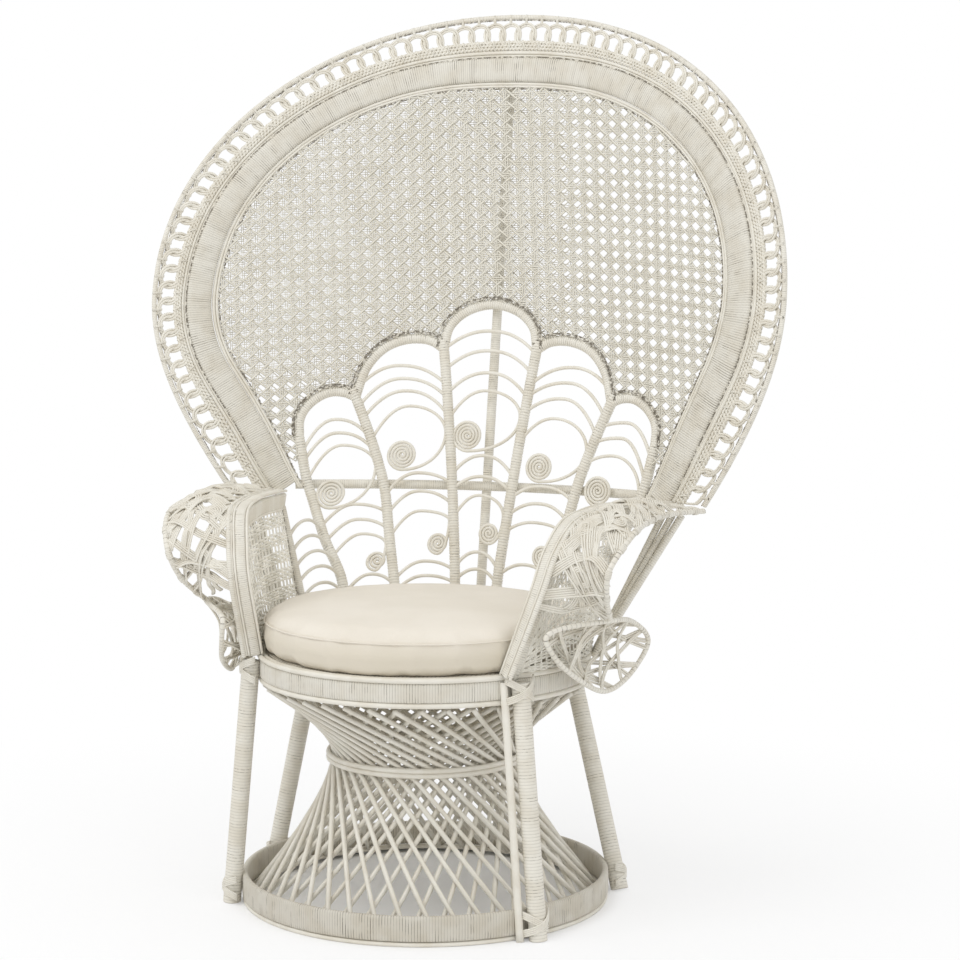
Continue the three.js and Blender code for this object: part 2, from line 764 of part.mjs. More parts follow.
function armPanel(path, footAngle) {
  const from = radians(armPostAngle) - (armPostRadius + armPanelEase) / armFootRadius;
  const to = radians(Math.abs(footAngle)) + (armBandWidth + armBandThickness) / armFootRadius;
  const startShare = armPostShare + (armPostRadius + armPanelEase) / path.getLength();
  return net({
    columns: armPanelColumns,
    rows: armPanelRows,
    holeShare: armPanelHoleShare,
    thickness: armPanelThickness,
    place: (x, y, z) => {
      const bottom = around(armFootRadius, from + (to - from) * x, hoopTop + clearance);
      const share = startShare + (armPanelEndShare - startShare) * x;
      const top = armPlace(path, share, armBandWidth + armPanelEase, 0);
      const outward = vector(bottom.x, bottom.y, 0).normalize();
      return bottom.lerp(top, y).addScaledVector(outward, -z);
    },
  });
}

const located = (points) => points.map(({ x, y, z }) => vector(x, y, z));
const spline = (points) => new THREE.CatmullRomCurve3(located(points), false, 'centripetal');

function ruffleRimTube(radius) {
  const steps = ruffleColumns * 2;
  return tube(spline(ruffleRim).getSpacedPoints(steps), radius, thinSides, steps);
}

function ruffle(path) {
  const rim = spline(ruffleRim);
  const inset = (armBandThickness + ruffleThickness) / 2 + ruffleEase;
  const inner = (share) => armPlace(path, share * ruffleEndShare, 2 * caneRadius, inset);
  const place = (x, y, z) => {
    const from = inner(x);
    const to = rim.getPointAt(x);
    const step = 1 / ruffleColumns / 4;
    const along = inner(Math.min(x + step, 1)).sub(inner(Math.max(x - step, 0)));
    const normal = along.cross(to.clone().sub(from)).normalize();
    const bulge = ruffleBulge * Math.sin(Math.PI * y) * Math.sin(Math.PI * x);
    return from.lerp(to, y).addScaledVector(normal, bulge + z);
  };
  const sheet = net({
    columns: ruffleColumns,
    rows: ruffleRows,
    holeShare: ruffleHoleShare,
    thickness: ruffleThickness,
    place,
  });
  return joined([sheet, ruffleRimTube(rimRadius)]);
}

// The cup, cut clear of the ruffle's rim that it hangs from
function ruffleCup() {
  const rim = new THREE.CatmullRomCurve3(cupRim.map(({ x, y, z }) => vector(x, y, z)), true, 'centripetal');
  const middle = cupRim.reduce((sum, { x, y, z }) => sum.add(vector(x, y, z)), vector(0, 0, 0));
  middle.divideScalar(cupRim.length);
  const inward = vector(-middle.x, -middle.y, 0).normalize();
  const basket = net({
    columns: cupSpokes,
    rows: 2,
    holeShare: cupHoleShare,
    thickness: ruffleThickness,
    closed: true,
    place: (x, y, z) => {
      const share = 1 - y * (1 - cupHubShare);
      const edge = rim.getPoint(x % 1);
      const point = middle.clone().lerp(edge, share);
      return point.addScaledVector(inward, cupDepth * (1 - share * share) + z);
    },
  });
  return cutBy(basket, ruffleRimTube(rimRadius + clearance));
}

function sideStay(index) {
  const turn = ((index - 1) * staySpacing) / seatRadius;
  const foot = around(seatRadius + stayRadius - bandEase, radians(stayFootAngle) + turn, seatBandTop);
  const head = vector(stayTop.x - (index - 1) * staySpacing, stayTop.y, stayTop.z);
  return notched(standingPole(foot, head, stayRadius, poleSides - 4));
}

const stems = stemPaths();
const chair = new THREE.Group();

const finishes = {
  wrapped: { color: 0xe6e2d6, roughness: 0.6, metalness: 0 },
  cane: { color: 0xe9e5da, roughness: 0.5, metalness: 0 },
  weave: { color: 0xe4dfd1, roughness: 0.65, metalness: 0 },
  fabric: { color: 0xe8e0d1, roughness: 0.9, metalness: 0 },
  wood: { color: 0xcbb894, roughness: 0.7, metalness: 0 },
};

function add(name, finish, geometry) {
  const mesh = new THREE.Mesh(geometry, new THREE.MeshStandardMaterial(finishes[finish]));
  mesh.name = name;
  chair.add(mesh);
}

// Base and hourglass
const baseHoopInner = baseRadius - baseHoopChamfer - baseHoopWidth;
const baseHoopOuter = baseRadius - baseHoopChamfer;
add('base_hoop', 'cane', lathe([
  [baseHoopOuter - baseHoopChamfer, 0], [baseHoopOuter, baseHoopHeight / 2],
  [baseHoopOuter - baseHoopChamfer, baseHoopHeight], [baseHoopInner + baseHoopChamfer, baseHoopHeight],
  [baseHoopInner, baseHoopHeight / 2], [baseHoopInner + baseHoopChamfer, 0],
]));
add('base_ring', 'wrapped', bandHoop(baseRadius, baseWall, baseHoopHeight + clearance, baseRingTop));
for (let i = 0; i < groupsInLayer; i++) {
  add(`outer_rods_${i + 1}`, 'cane', rodGroup({ foot: 0, waist: 0, head: 0 }, 1, i));
  add(`inner_rods_${i + 1}`, 'cane', rodGroup(layerStep, -1, i));
}
const waistRadius = waistRodRadius + rodRadius + waistEase + caneRadius;
const waistStep = caneRadius - hoopWeld;
add('waist_hoops', 'cane', caneHoop([
  [waistRadius, waistHeight + waistStep], [waistRadius, waistHeight - waistStep],
], caneRadius));

// Seat
add('seat_ring', 'wrapped', bandHoop(seatRadius, seatWall, seatBandBottom, seatBandTop));
add('seat_hoop_lower', 'cane', caneHoop([[seatRadius - caneRadius, lowerHoopHeight]], caneRadius));
add('seat_hoops_upper', 'cane', caneHoop(topHoops, caneRadius));
const deckRadius = topHoops[1][0] - caneRadius - clearance;
const deckBottom = hoopTop - deckThickness;
add('seat_deck', 'weave', lathe([
  [0, deckBottom], [deckRadius, deckBottom], [deckRadius, hoopTop - deckEaseDrop],
  [deckRadius - deckEaseWidth, hoopTop], [0, hoopTop],
]));
for (const [side, sign] of [['left', -1], ['right', 1]]) {
  const edge = bearerSpread + bearerWidth / 2;
  const reach = (seatRadius - seatWall - clearance) * Math.cos(Math.PI / hoopSides);
  const length = 2 * Math.sqrt(reach ** 2 - edge ** 2);
  const bearer = new THREE.BoxGeometry(bearerWidth, length, bearerHeight);
  bearer.translate(sign * bearerSpread, 0, deckBottom - clearance - bearerHeight / 2);
  add(`seat_bearer_${side}`, 'wood', bearer);
}
add('cushion', 'fabric', cushion());

// Legs, and the thin pole beside the front right one
for (const [name, { foot, head }] of Object.entries(legs)) {
  add(`leg_${name}`, 'wrapped', outerPole(radians(foot), radians(head), legRadius));
}
const poleTurn = (legRadius + sidePoleRadius + 2 * bandEase) / seatRadius;
const { foot: poleFoot, head: poleHead } = legs.front_right;
const sidePole = outerPole(radians(poleFoot) - poleTurn, radians(poleHead) - poleTurn, sidePoleRadius);
add('side_pole', 'cane', sidePole);

// Fan, from its rim inwards
add('fan_hoop', 'wrapped', fanTube(rimRadius, rimRadius, caneSides));
add('fan_border', 'cane', net({
  columns: borderLoops,
  rows: 1,
  holeShare: borderHoleShare,
  thickness: borderThickness,
  place: (x, y, z) => fanPlace(1 - x, borderFrom + borderWidth * y, z),
}));
add('fan_rail', 'cane', strip(railFrom, railTo, railThickness, fanSteps, (x, y, z) => fanPlace(1 - x, y, z)));
add('fan_band', 'wrapped', strip(bandFrom, bandTo, bandThickness, fanSteps, (x, y, z) =>
  fanPlace(1 - x, y, z)));
add('fan_edging', 'cane', fanTube(edgingMiddle, caneRadius, thinSides));
add('cane_panel_front', 'weave', panel(panelCells.front, panelOut));
add('cane_panel_back', 'weave', panel(panelCells.back, -panelOut - panelEase));

// Petals, stems with their scrolls, the cross bar and the rear post
petalPaths().forEach((path, index) => add(`petal_${index + 1}`, 'wrapped', petalArch(path, index)));
scrollwork.forEach((row, index) => add(`stem_${index + 1}`, 'wrapped', stemWithScrolls(index)));
const barOut = -(stemRadius + clearance + crossBarRadius);
const postOut = -(panelOut + panelEase + panelThickness / 2 + clearance + rearPostRadius);
const postHead = backPoint(0, rearPostTop, postOut);
const postFoot = vector(0, seatRadius + caneRadius + clearance + rearPostRadius, rearPostFoot);
const crossBarPoints = [-1, -1 / 2, 0, 1 / 2, 1].map((share) =>
  backPoint(share * crossBarHalfWidth, crossBarHeight, barOut));
add('rear_post', 'wrapped', standingPole(postFoot, postHead, rearPostRadius, poleSides));
add('cross_bar', 'wrapped', cutBy(
  tube(crossBarPoints, crossBarRadius, poleSides - 4, 2 * crossBarPoints.length),
  standingPole(postFoot, postHead, rearPostRadius + clearance, poleSides),
));

// Arms
for (const [side, footAngle] of Object.entries(armFootAngle)) {
  const hand = side === 'left' ? mirrored : (geometry) => geometry;
  const path = armPath(footAngle);
  add(`arm_band_${side}`, 'wrapped', hand(armBand(path)));
  add(`arm_post_${side}`, 'wrapped', hand(armPost(path)));
  add(`arm_panel_${side}`, 'weave', hand(armPanel(path, footAngle)));
  add(`arm_ruffle_${side}`, 'cane', hand(ruffle(path)));
  add(`ruffle_cup_${side}`, 'cane', hand(ruffleCup()));
  for (let i = 0; i < stayCount; i++) add(`side_stay_${side}_${i + 1}`, 'wrapped', hand(sideStay(i)));
}

// The origin is under the middle of the chair's box
const box = new THREE.Box3().setFromObject(chair);
const centre = box.getCenter(vector(0, 0, 0));
chair.position.set(-centre.x, -centre.y, -box.min.z);

export default chair;
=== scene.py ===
import math

import bmesh
import bpy
import numpy as np
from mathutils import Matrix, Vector


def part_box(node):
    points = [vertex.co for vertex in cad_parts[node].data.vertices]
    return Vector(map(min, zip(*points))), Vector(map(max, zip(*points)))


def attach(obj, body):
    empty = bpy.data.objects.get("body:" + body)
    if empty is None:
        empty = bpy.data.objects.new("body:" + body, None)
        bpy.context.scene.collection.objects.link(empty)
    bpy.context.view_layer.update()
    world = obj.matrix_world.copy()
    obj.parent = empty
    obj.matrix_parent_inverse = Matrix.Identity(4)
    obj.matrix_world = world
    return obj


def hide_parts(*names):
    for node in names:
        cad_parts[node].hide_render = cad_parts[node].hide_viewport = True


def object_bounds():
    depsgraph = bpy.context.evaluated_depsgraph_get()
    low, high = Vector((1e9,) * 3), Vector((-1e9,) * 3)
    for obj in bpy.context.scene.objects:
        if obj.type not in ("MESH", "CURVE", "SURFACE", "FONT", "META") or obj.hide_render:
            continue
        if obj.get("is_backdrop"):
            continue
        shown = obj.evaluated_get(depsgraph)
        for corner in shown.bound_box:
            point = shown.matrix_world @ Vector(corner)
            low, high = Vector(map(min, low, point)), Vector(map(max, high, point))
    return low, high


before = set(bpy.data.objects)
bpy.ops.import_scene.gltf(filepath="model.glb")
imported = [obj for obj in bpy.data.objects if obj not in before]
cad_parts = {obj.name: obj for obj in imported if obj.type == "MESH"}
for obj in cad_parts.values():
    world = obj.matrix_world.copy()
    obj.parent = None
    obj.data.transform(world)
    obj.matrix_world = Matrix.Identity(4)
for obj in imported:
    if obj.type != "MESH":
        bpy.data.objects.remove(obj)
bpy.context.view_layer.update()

# The chair is worked out in millimetres about the upright axis of its base, front towards -Y
lowCorner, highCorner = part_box("base_ring")
axisY = (lowCorner.y + highCorner.y) / 2
seed = np.random.default_rng(11)


def placed(points):  # millimetres about the base's axis, as metres in the frame
    return np.asarray(points, float) / 1000 + (0, axisY, 0)


def unit(vectors):
    return vectors / np.maximum(np.linalg.norm(vectors, axis=-1, keepdims=True), 1e-9)


def along(line):  # length from the start to each point
    return np.concatenate([[0], np.cumsum(np.linalg.norm(np.diff(line, axis=0), axis=1))])


def at(line, share):  # the place at a share of a line's points
    marks = np.linspace(0, 1, len(line))
    return np.stack([np.interp(share, marks, column) for column in np.transpose(line)], axis=-1)


def corners(mesh):
    places = np.empty(len(mesh.vertices) * 3)
    mesh.vertices.foreach_get("co", places)
    return places.reshape(-1, 3)


def evenly(line, count, width=None):  # columns after the first ones given by width only travel along
    line = np.asarray(line, float)
    done = along(line[:, :width])
    marks = np.linspace(0, done[-1], count + 1)
    return np.column_stack([np.interp(marks, done, line[:, k]) for k in range(line.shape[1])])


def bent(points, spacing, closed=False):  # a smooth line through the points
    points = np.asarray(points, float)
    if closed:
        points = np.vstack([points[-2:], points, points[:3]])
    knots = np.concatenate([[0], np.cumsum(np.sqrt(np.linalg.norm(np.diff(points, axis=0), axis=1)))])
    slopes = np.gradient(points, knots, axis=0)
    first, last = (knots[2], knots[-3]) if closed else (knots[0], knots[-1])
    marks = np.linspace(first, last, len(points) * 24)
    index = np.clip(np.searchsorted(knots, marks, side="right") - 1, 0, len(knots) - 2)
    step = (knots[index + 1] - knots[index])[:, None]
    t = ((marks - knots[index]) / (knots[index + 1] - knots[index]))[:, None]
    start, end = points[index], points[index + 1]
    line = ((2 * t**3 - 3 * t**2 + 1) * start + (t**3 - 2 * t**2 + t) * step * slopes[index]
            + (3 * t**2 - 2 * t**3) * end + (t**3 - t**2) * step * slopes[index + 1])
    return evenly(line, max(int(round(along(line)[-1] / spacing)), 1))


def ease(value, low, high):
    t = np.clip((np.asarray(value, float) - low) / (high - low), 0, 1)
    return t * t * (3 - 2 * t)


def around(radius, degrees, z):  # angle from the front, towards +X
    turn = np.radians(degrees)
    return np.stack(np.broadcast_arrays(radius * np.sin(turn), -radius * np.cos(turn), z), axis=-1)


# Finishes

def tone(red, green, blue):  # a screen colour as a linear one
    shares = [channel / 255 for channel in (red, green, blue)]
    return tuple(s / 12.92 if s <= 0.04045 else ((s + 0.055) / 1.055) ** 2.4 for s in shares) + (1,)


class Value:  # a socket that can be used in sums
    def __init__(self, nodes, socket):
        self.nodes, self.socket = nodes, socket

    def maths(self, operation, *others):
        return self.nodes.maths(operation, self, *others)

    def __add__(self, other):
        return self.maths("ADD", other)

    def __sub__(self, other):
        return self.maths("SUBTRACT", other)

    def __rsub__(self, other):
        return self.nodes.maths("SUBTRACT", other, self)

    def __mul__(self, other):
        return self.maths("MULTIPLY", other)

    def __truediv__(self, other):
        return self.maths("DIVIDE", other)

    __radd__ = __add__
    __rmul__ = __mul__


class Nodes:  # of a material or a world
    def __init__(self, owner, end):
        owner.use_nodes = True
        self.tree = owner.node_tree
        self.end = self.tree.nodes[end].inputs["Surface"]

    def add(self, kind, settings=None, inputs=None):
        node = self.tree.nodes.new(kind)
        for key, setting in (settings or {}).items():
            setattr(node, key, setting)
        for key, given in (inputs or {}).items():
            if isinstance(given, Value):
                self.tree.links.new(given.socket, node.inputs[key])
            else:
                node.inputs[key].default_value = given
        return node

    def out(self, node, key=0):
        return Value(self, node.outputs[key])

    def maths(self, operation, *values):
        return self.out(self.add("ShaderNodeMath", {"operation": operation}, dict(enumerate(values))))

    def seenDirectly(self):  # 1 to the camera, and in gloss and glass
        rays = self.add("ShaderNodeLightPath")
        kinds = ("Camera", "Glossy", "Transmission")
        camera, gloss, glass = (self.out(rays, f"Is {kind} Ray") for kind in kinds)
        return camera.maths("MAXIMUM", gloss).maths("MAXIMUM", glass)

    def mixed(self, share, first, second):  # two shaders, into the output
        mix = self.add("ShaderNodeMixShader", None, {0: share, 1: self.out(first), 2: self.out(second)})
        self.tree.links.new(mix.outputs[0], self.end)


class Finish(Nodes):
    def __init__(self, name):
        self.material = bpy.data.materials.new(name)
        super().__init__(self.material, "Material Output")
        self.shader = self.tree.nodes["Principled BSDF"]
        self.place = self.out(self.add("ShaderNodeTexCoord"), "Object")

    def between(self, value, low, high, start=0.0, end=1.0):
        return self.out(self.add("ShaderNodeMapRange", {"interpolation_type": "SMOOTHSTEP"},
                                 {0: value, 1: low, 2: high, 3: start, 4: end}))

    def blend(self, share, first, second):
        return self.out(self.add("ShaderNodeMix", {"data_type": "RGBA"}, {0: share, 6: first, 7: second}), 2)

    def noise(self, scale, detail=2.0, where=None):
        return self.out(self.add("ShaderNodeTexNoise", None,
                                 {"Vector": where or self.place, "Scale": scale, "Detail": detail}))

    def axis(self, vector, key):
        return self.out(self.add("ShaderNodeSeparateXYZ", None, {0: vector}), key)

    def feed(self, socket, value):
        self.tree.links.new(value.socket, self.shader.inputs[socket])

    def plain(self, numbers):  # what is the same all over
        for socket, number in numbers.items():
            self.shader.inputs[socket].default_value = number

    def raised(self, height, distance, strength=1.0):
        bump = self.add("ShaderNodeBump", None,
                        {"Strength": strength, "Distance": distance, "Height": height})
        self.feed("Normal", self.out(bump))


paint = {
    "light": tone(231, 227, 216),
    "warm": tone(222, 216, 202),
    "woven": tone(229, 225, 213),
    "wovenWarm": tone(222, 217, 203),
    # painted light: a lighter copy of the woven cane's paint, for the rear weave layer and the arm panels,
    # which lie in shade
    "behind": tone(253, 250, 241),
    "band": tone(221, 217, 206),
    "bandWarm": tone(213, 207, 193),
    # painted shade: darker coats for the base ring, which lies in shade near the floor
    "low": tone(209, 204, 192),
    "lowShadedWarm": tone(200, 193, 178),
    # painted shade: the colour that crevices darken towards, and the lines between the deck's woven strands
    "creviceShade": tone(160, 148, 125),
    # dark of bare cane at some grooves between turns, and of the painted shade in every groove and on the
    # thin dark canes
    "gap": tone(92, 82, 66),
    "roughness": 0.55,
    "patchScale": 26.0, "fineScale": 900.0, "gapShadeScale": 210.0, "shadeBreakupScale": 60.0,
    "breakScale": 170.0, "longBreakScale": 48.0, "longFrom": 0.8,  # marks from which the gaps run long
    "fineHeight": 0.2, "bumpDepth": 0.0004, "bumpStrength": 0.5,
    "creviceReach": 0.011, "creviceShare": 0.45, "gridShare": 0.45,  # the reach is in metres
}


def paintedFinish(name, creviceShade=1.0, turned=False, coats=("light", "warm"), gapShade=0.0, marks=0.75, grid=0.0):
    finish = Finish(name)
    patches = finish.between(finish.noise(paint["patchScale"], 3.0), 0.35, 0.7)
    colour = finish.blend(patches, paint[coats[0]], paint[coats[1]])
    height = finish.noise(paint["fineScale"]) * paint["fineHeight"]
    if gapShade:  # painted shade: noisy dark patches on the thin canes laid in shadow lines
        gapShadeMask = finish.between(finish.noise(paint["gapShadeScale"]), 0.38, 0.56)
        colour = finish.blend(gapShadeMask * gapShade, colour, paint["gap"])
    if turned:  # a groove between the turns: painted shade darkens each groove a little, and more at some turns where bare cane shows
        turns = finish.axis(finish.out(finish.add("ShaderNodeUVMap", {"uv_map": "UVMap"})), "Y")
        whole = turns.maths("FLOOR")
        part = turns - whole
        luck = finish.out(finish.add("ShaderNodeTexWhiteNoise", {"noise_dimensions": "1D"}, {"W": whole}))
        edge = part.maths("MINIMUM", 1 - part)
        line = finish.between(edge, 0.02, 0.2, 1.0, 0.0)
        scale = paint["breakScale"] if marks < paint["longFrom"] else paint["longBreakScale"]
        broken = finish.between(finish.noise(scale), 0.42, 0.6)
        dark = line * (finish.between(luck, 1.3 - marks, 1.0) * broken * marks + 0.2)
        colour = finish.blend(dark, colour, paint["gap"])
        height = height + finish.between(edge, 0.0, 0.3)
    if grid:  # close plain weave, with painted shade in the lines between its strands
        for key in ("X", "Y"):
            place = finish.axis(finish.place, key) / grid
            part = place - place.maths("FLOOR")
            line = finish.between(part.maths("MINIMUM", 1 - part), 0.04, 0.22, 1.0, 0.0)
            colour = finish.blend(line * paint["gridShare"], colour, paint["creviceShade"])
            height = height - line
    # painted shade: colour darkens towards the crevice colour where the piece's own surfaces close in, found
    # by ambient occlusion, its strength varied by noise
    shade = finish.add("ShaderNodeAmbientOcclusion", {"samples": 6, "only_local": True},
                       {"Distance": paint["creviceReach"]})
    hollowShade = finish.between(finish.out(shade, "AO"), 0.15, 0.85, 1.0, 0.0)
    shadeBreakup = finish.between(finish.noise(paint["shadeBreakupScale"]), 0.25, 0.75, 0.45, 1.0)
    colour = finish.blend(hollowShade * shadeBreakup * (paint["creviceShare"] * creviceShade), colour, paint["creviceShade"])
    finish.feed("Base Color", colour)
    finish.plain({"Roughness": paint["roughness"]})
    finish.raised(height, paint["bumpDepth"], paint["bumpStrength"])
    return finish.material


cloth = {
    "top": tone(237, 230, 218),
    # painted shade: the cushion's sides take this darker colour below a height; it also tints random cloudy
    # patches
    "side": tone(211, 202, 183),
    "thread": tone(205, 196, 178),
    "sideShadeFrom": 0.45, "sideShadeTo": 0.486, "sideShadeShare": 0.72,  # heights in metres
    "cloudScale": 7.0, "cloudShare": 0.25, "threadScale": 1500.0, "threadShare": 0.16, "creaseScale": 16.0,
    "roughness": 0.9, "sheen": 0.12, "bumpDepth": 0.0016,
    "voxel": 0.006, "pressure": 4.0, "steps": 20, "cap": 0.009, "fuller": 1.01,
    "seamRadius": 1.5, "seamHeight": 0.053, "seamSpots": 144, "seamReach": 0.004, "seamTurn": 0.06,
}


def clothFinish():
    finish = Finish("creamCloth")
    clouds = finish.between(finish.noise(cloth["cloudScale"], 3.0), 0.3, 0.7, 0.0, cloth["cloudShare"])
    colour = finish.blend(clouds, cloth["top"], cloth["side"])
    # painted shade: the cushion darkens down its sides, below a height
    height = finish.axis(finish.place, "Z")
    low = finish.between(height, cloth["sideShadeFrom"], cloth["sideShadeTo"], 1.0, 0.0)
    colour = finish.blend(low * cloth["sideShadeShare"], colour, cloth["side"])
    threads = finish.noise(cloth["threadScale"], 1.0)
    threadShare = finish.between(threads, 0.35, 0.75, 0.0, cloth["threadShare"])
    colour = finish.blend(threadShare, colour, cloth["thread"])
    finish.feed("Base Color", colour)
    finish.plain({"Roughness": cloth["roughness"], "Sheen Weight": cloth["sheen"]})
    creases = finish.noise(cloth["creaseScale"])
    finish.raised(threads * 0.25 + creases, cloth["bumpDepth"], 0.5)
    return finish.material


finishes = {
    "wrapped": (paintedFinish("wrappedRattan", 1.0, True), "wrapped_rattan"),
    "band": (paintedFinish("wrappedBand", 1.0, True, ("band", "bandWarm"), marks=0.85), "wrapped_rattan"),
    "shadedLowBand": (paintedFinish("wrappedShadedLowBand", 1.0, True, ("low", "lowShadedWarm"), marks=0.95), "wrapped_rattan"),
    "cane": (paintedFinish("bareCane", 0.8), "bare_cane"),
    "woven": (paintedFinish("wovenCane", 0.2, coats=("woven", "wovenWarm")), "woven_cane"),
    # painted light: the same paint as the front weave, made lighter to offset shade
    "wovenPaintedLight": (paintedFinish("wovenCanePaintedLight", 0.1, coats=("behind", "woven")), "woven_cane"),
    # painted shade: thin dark canes laid in the shadow lines beside the fan band, inside its edging, by its
    # rim, beside the petals and at the arm panels' rear edges
    "shadowGap": (paintedFinish("shadowGapCane", 0.5, gapShade=0.85), "bare_cane"),
    "cloth": (clothFinish(), "cushion_fabric"),
}


# Ways of making a piece

def dressed(piece, nodes, finish, body="frame"):
    material, slot = finishes[finish]
    piece.data.materials.clear()
    piece.data.materials.append(material)
    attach(piece, body)
    if nodes:
        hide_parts(*nodes)


def settled(name, nodes, mesh, finish, body="frame"):  # doubles merged, faces outwards, smooth
    work = bmesh.new()
    work.from_mesh(mesh)
    bmesh.ops.remove_doubles(work, verts=work.verts, dist=2e-6)
    bmesh.ops.dissolve_degenerate(work, edges=work.edges, dist=1e-7)
    bmesh.ops.recalc_face_normals(work, faces=work.faces)
    work.to_mesh(mesh)
    work.free()
    mesh.name = name
    mesh.polygons.foreach_set("use_smooth", np.ones(len(mesh.polygons), bool))
    piece = bpy.data.objects.new(name, mesh)
    bpy.context.scene.collection.objects.link(piece)
    print(name, sum(len(p.vertices) - 2 for p in mesh.polygons), "triangles")
    dressed(piece, nodes, finish, body)


# A piece of round canes: runs are open lines and rings closed ones, and each may be (line, radius)
def canes(name, nodes, runs, radius, finish="cane", sides=6, rings=(), body="frame"):
    curve = bpy.data.curves.new(name, "CURVE")
    curve.dimensions = "3D"
    curve.bevel_depth = radius / 1000
    curve.bevel_resolution = (sides - 4) // 2
    curve.use_fill_caps = True
    for run, closed in [(run, False) for run in runs] + [(run, True) for run in rings]:
        line, own = run if isinstance(run, tuple) else (run, radius)
        line = placed(line)
        spline = curve.splines.new("POLY")
        spline.points.add(len(line) - 1)
        spline.points.foreach_set("co", np.column_stack([line, np.ones(len(line))]).ravel())
        share = np.broadcast_to(np.asarray(own, float) / radius, len(line))
        spline.points.foreach_set("radius", share.copy())
        spline.use_cyclic_u = closed
    rail = bpy.data.objects.new(name, curve)
    bpy.context.scene.collection.objects.link(rail)
    shape = rail.evaluated_get(bpy.context.evaluated_depsgraph_get())
    mesh = bpy.data.meshes.new_from_object(shape)
    bpy.data.objects.remove(rail)
    bpy.data.curves.remove(curve)
    settled(name, nodes, mesh, finish, body)


# A wrapped pole or band: its line, half width and half depth, and the way its depth faces
def wrap(line, half, facing=None, turn=3.2, ridge=0.5, closed=False, sides=10, square=1.0, fine=3):
    line = np.asarray(line, float)
    length = along(line)[-1]
    turns = max(int(round(length / turn)), 2)
    width, depth = half if isinstance(half, tuple) else (half, half)
    if facing is not None and np.ndim(facing) == 2:
        carried = np.column_stack([line, facing, np.broadcast_to(width, len(line))])
        carried = evenly(carried, turns * fine, 3)
        facing, width = carried[:, 3:6], carried[:, 6]
    line = evenly(line, turns * fine)
    tangent = np.gradient(line, axis=0)
    if closed:
        tangent[0] = tangent[-1] = line[1] - line[-2]
    tangent = unit(tangent)
    if facing is None:
        facing = np.array([0.31, -0.93, 0.17])
    facing = np.broadcast_to(facing, line.shape)
    up = unit(facing - np.sum(facing * tangent, axis=1, keepdims=True) * tangent)
    side = np.cross(tangent, up)
    groove = np.where(np.arange(len(line)) % fine == 0, 1.0, 0.0)
    uneven = np.repeat(seed.uniform(0.35, 1.25, turns + 1), fine)[:len(line)]
    if closed:
        uneven[-1] = uneven[0]
    swell = -ridge * groove * uneven
    angle = np.linspace(0, 2 * np.pi, sides + 1)
    across = np.sign(np.cos(angle)) * np.abs(np.cos(angle)) ** square
    deep = np.sign(np.sin(angle)) * np.abs(np.sin(angle)) ** square
    width = np.broadcast_to(width, len(line)) + swell
    depth = np.broadcast_to(depth, len(line)) + swell
    grid = (line[:, None] + side[:, None] * (across * width[:, None])[:, :, None]
            + up[:, None] * (deep * depth[:, None])[:, :, None])
    count = np.arange(len(line)) / fine
    if not closed:
        shut = [np.repeat(line[:1, None], sides + 1, axis=1), np.repeat(line[-1:, None], sides + 1, axis=1)]
        grid = np.concatenate([shut[0], grid, shut[1]])
        count = np.concatenate([count[:1], count, count[-1:]])
    marks = np.stack(np.broadcast_arrays(np.arange(sides + 1) / sides, count[:, None]), axis=-1)
    return grid, marks


def flatCane(line, half, facing):  # a ribbon of split cane, with its half width and half depth
    tangent = unit(np.gradient(line, axis=0))
    up = unit(facing - np.sum(facing * tangent, axis=1, keepdims=True) * tangent)
    side = np.cross(tangent, up)
    grid = np.stack([line + side * half[0], line + up * half[1], line - side * half[0], line - up * half[1],
                     line + side * half[0]], axis=1)
    shut = [np.repeat(line[:1, None], 5, axis=1), np.repeat(line[-1:, None], 5, axis=1)]
    grid = np.concatenate([shut[0], grid, shut[1]])
    marks = np.stack(np.broadcast_arrays(np.arange(5) / 4, np.arange(len(grid))[:, None]), axis=-1)
    return grid, marks


# A piece of wrapped poles: each starts as a flat grid that is rolled up along its line
def wrapped(name, nodes, parts, finish="wrapped"):
    work = bmesh.new()
    places, marks = [], []
    for index, (grid, own) in enumerate(parts):
        rows, columns = grid.shape[:2]
        bmesh.ops.create_grid(work, x_segments=columns - 1, y_segments=rows - 1, size=1)
        places.append(grid.reshape(-1, 3))
        marks.append(own.reshape(-1, 2) + (0, 1000 * index))
    mesh = bpy.data.meshes.new(name)
    work.to_mesh(mesh)
    work.free()
    mesh.vertices.foreach_set("co", placed(np.vstack(places)).ravel())
    corners = np.empty(len(mesh.loops), int)
    mesh.loops.foreach_get("vertex_index", corners)
    layer = mesh.uv_layers.new(name="UVMap")
    layer.data.foreach_set("uv", np.vstack(marks)[corners].ravel())
    settled(name, nodes, mesh, finish)


def ring(radius, z):  # ends where it starts
    return around(radius, np.linspace(0, 360, 181), z)


def hoop(radius, z):  # without the repeated end
    return ring(radius, z)[:-1]


def outwards(line):  # level, away from the base's axis
    return unit(np.asarray(line, float) * (1, 1, 0))


# Base

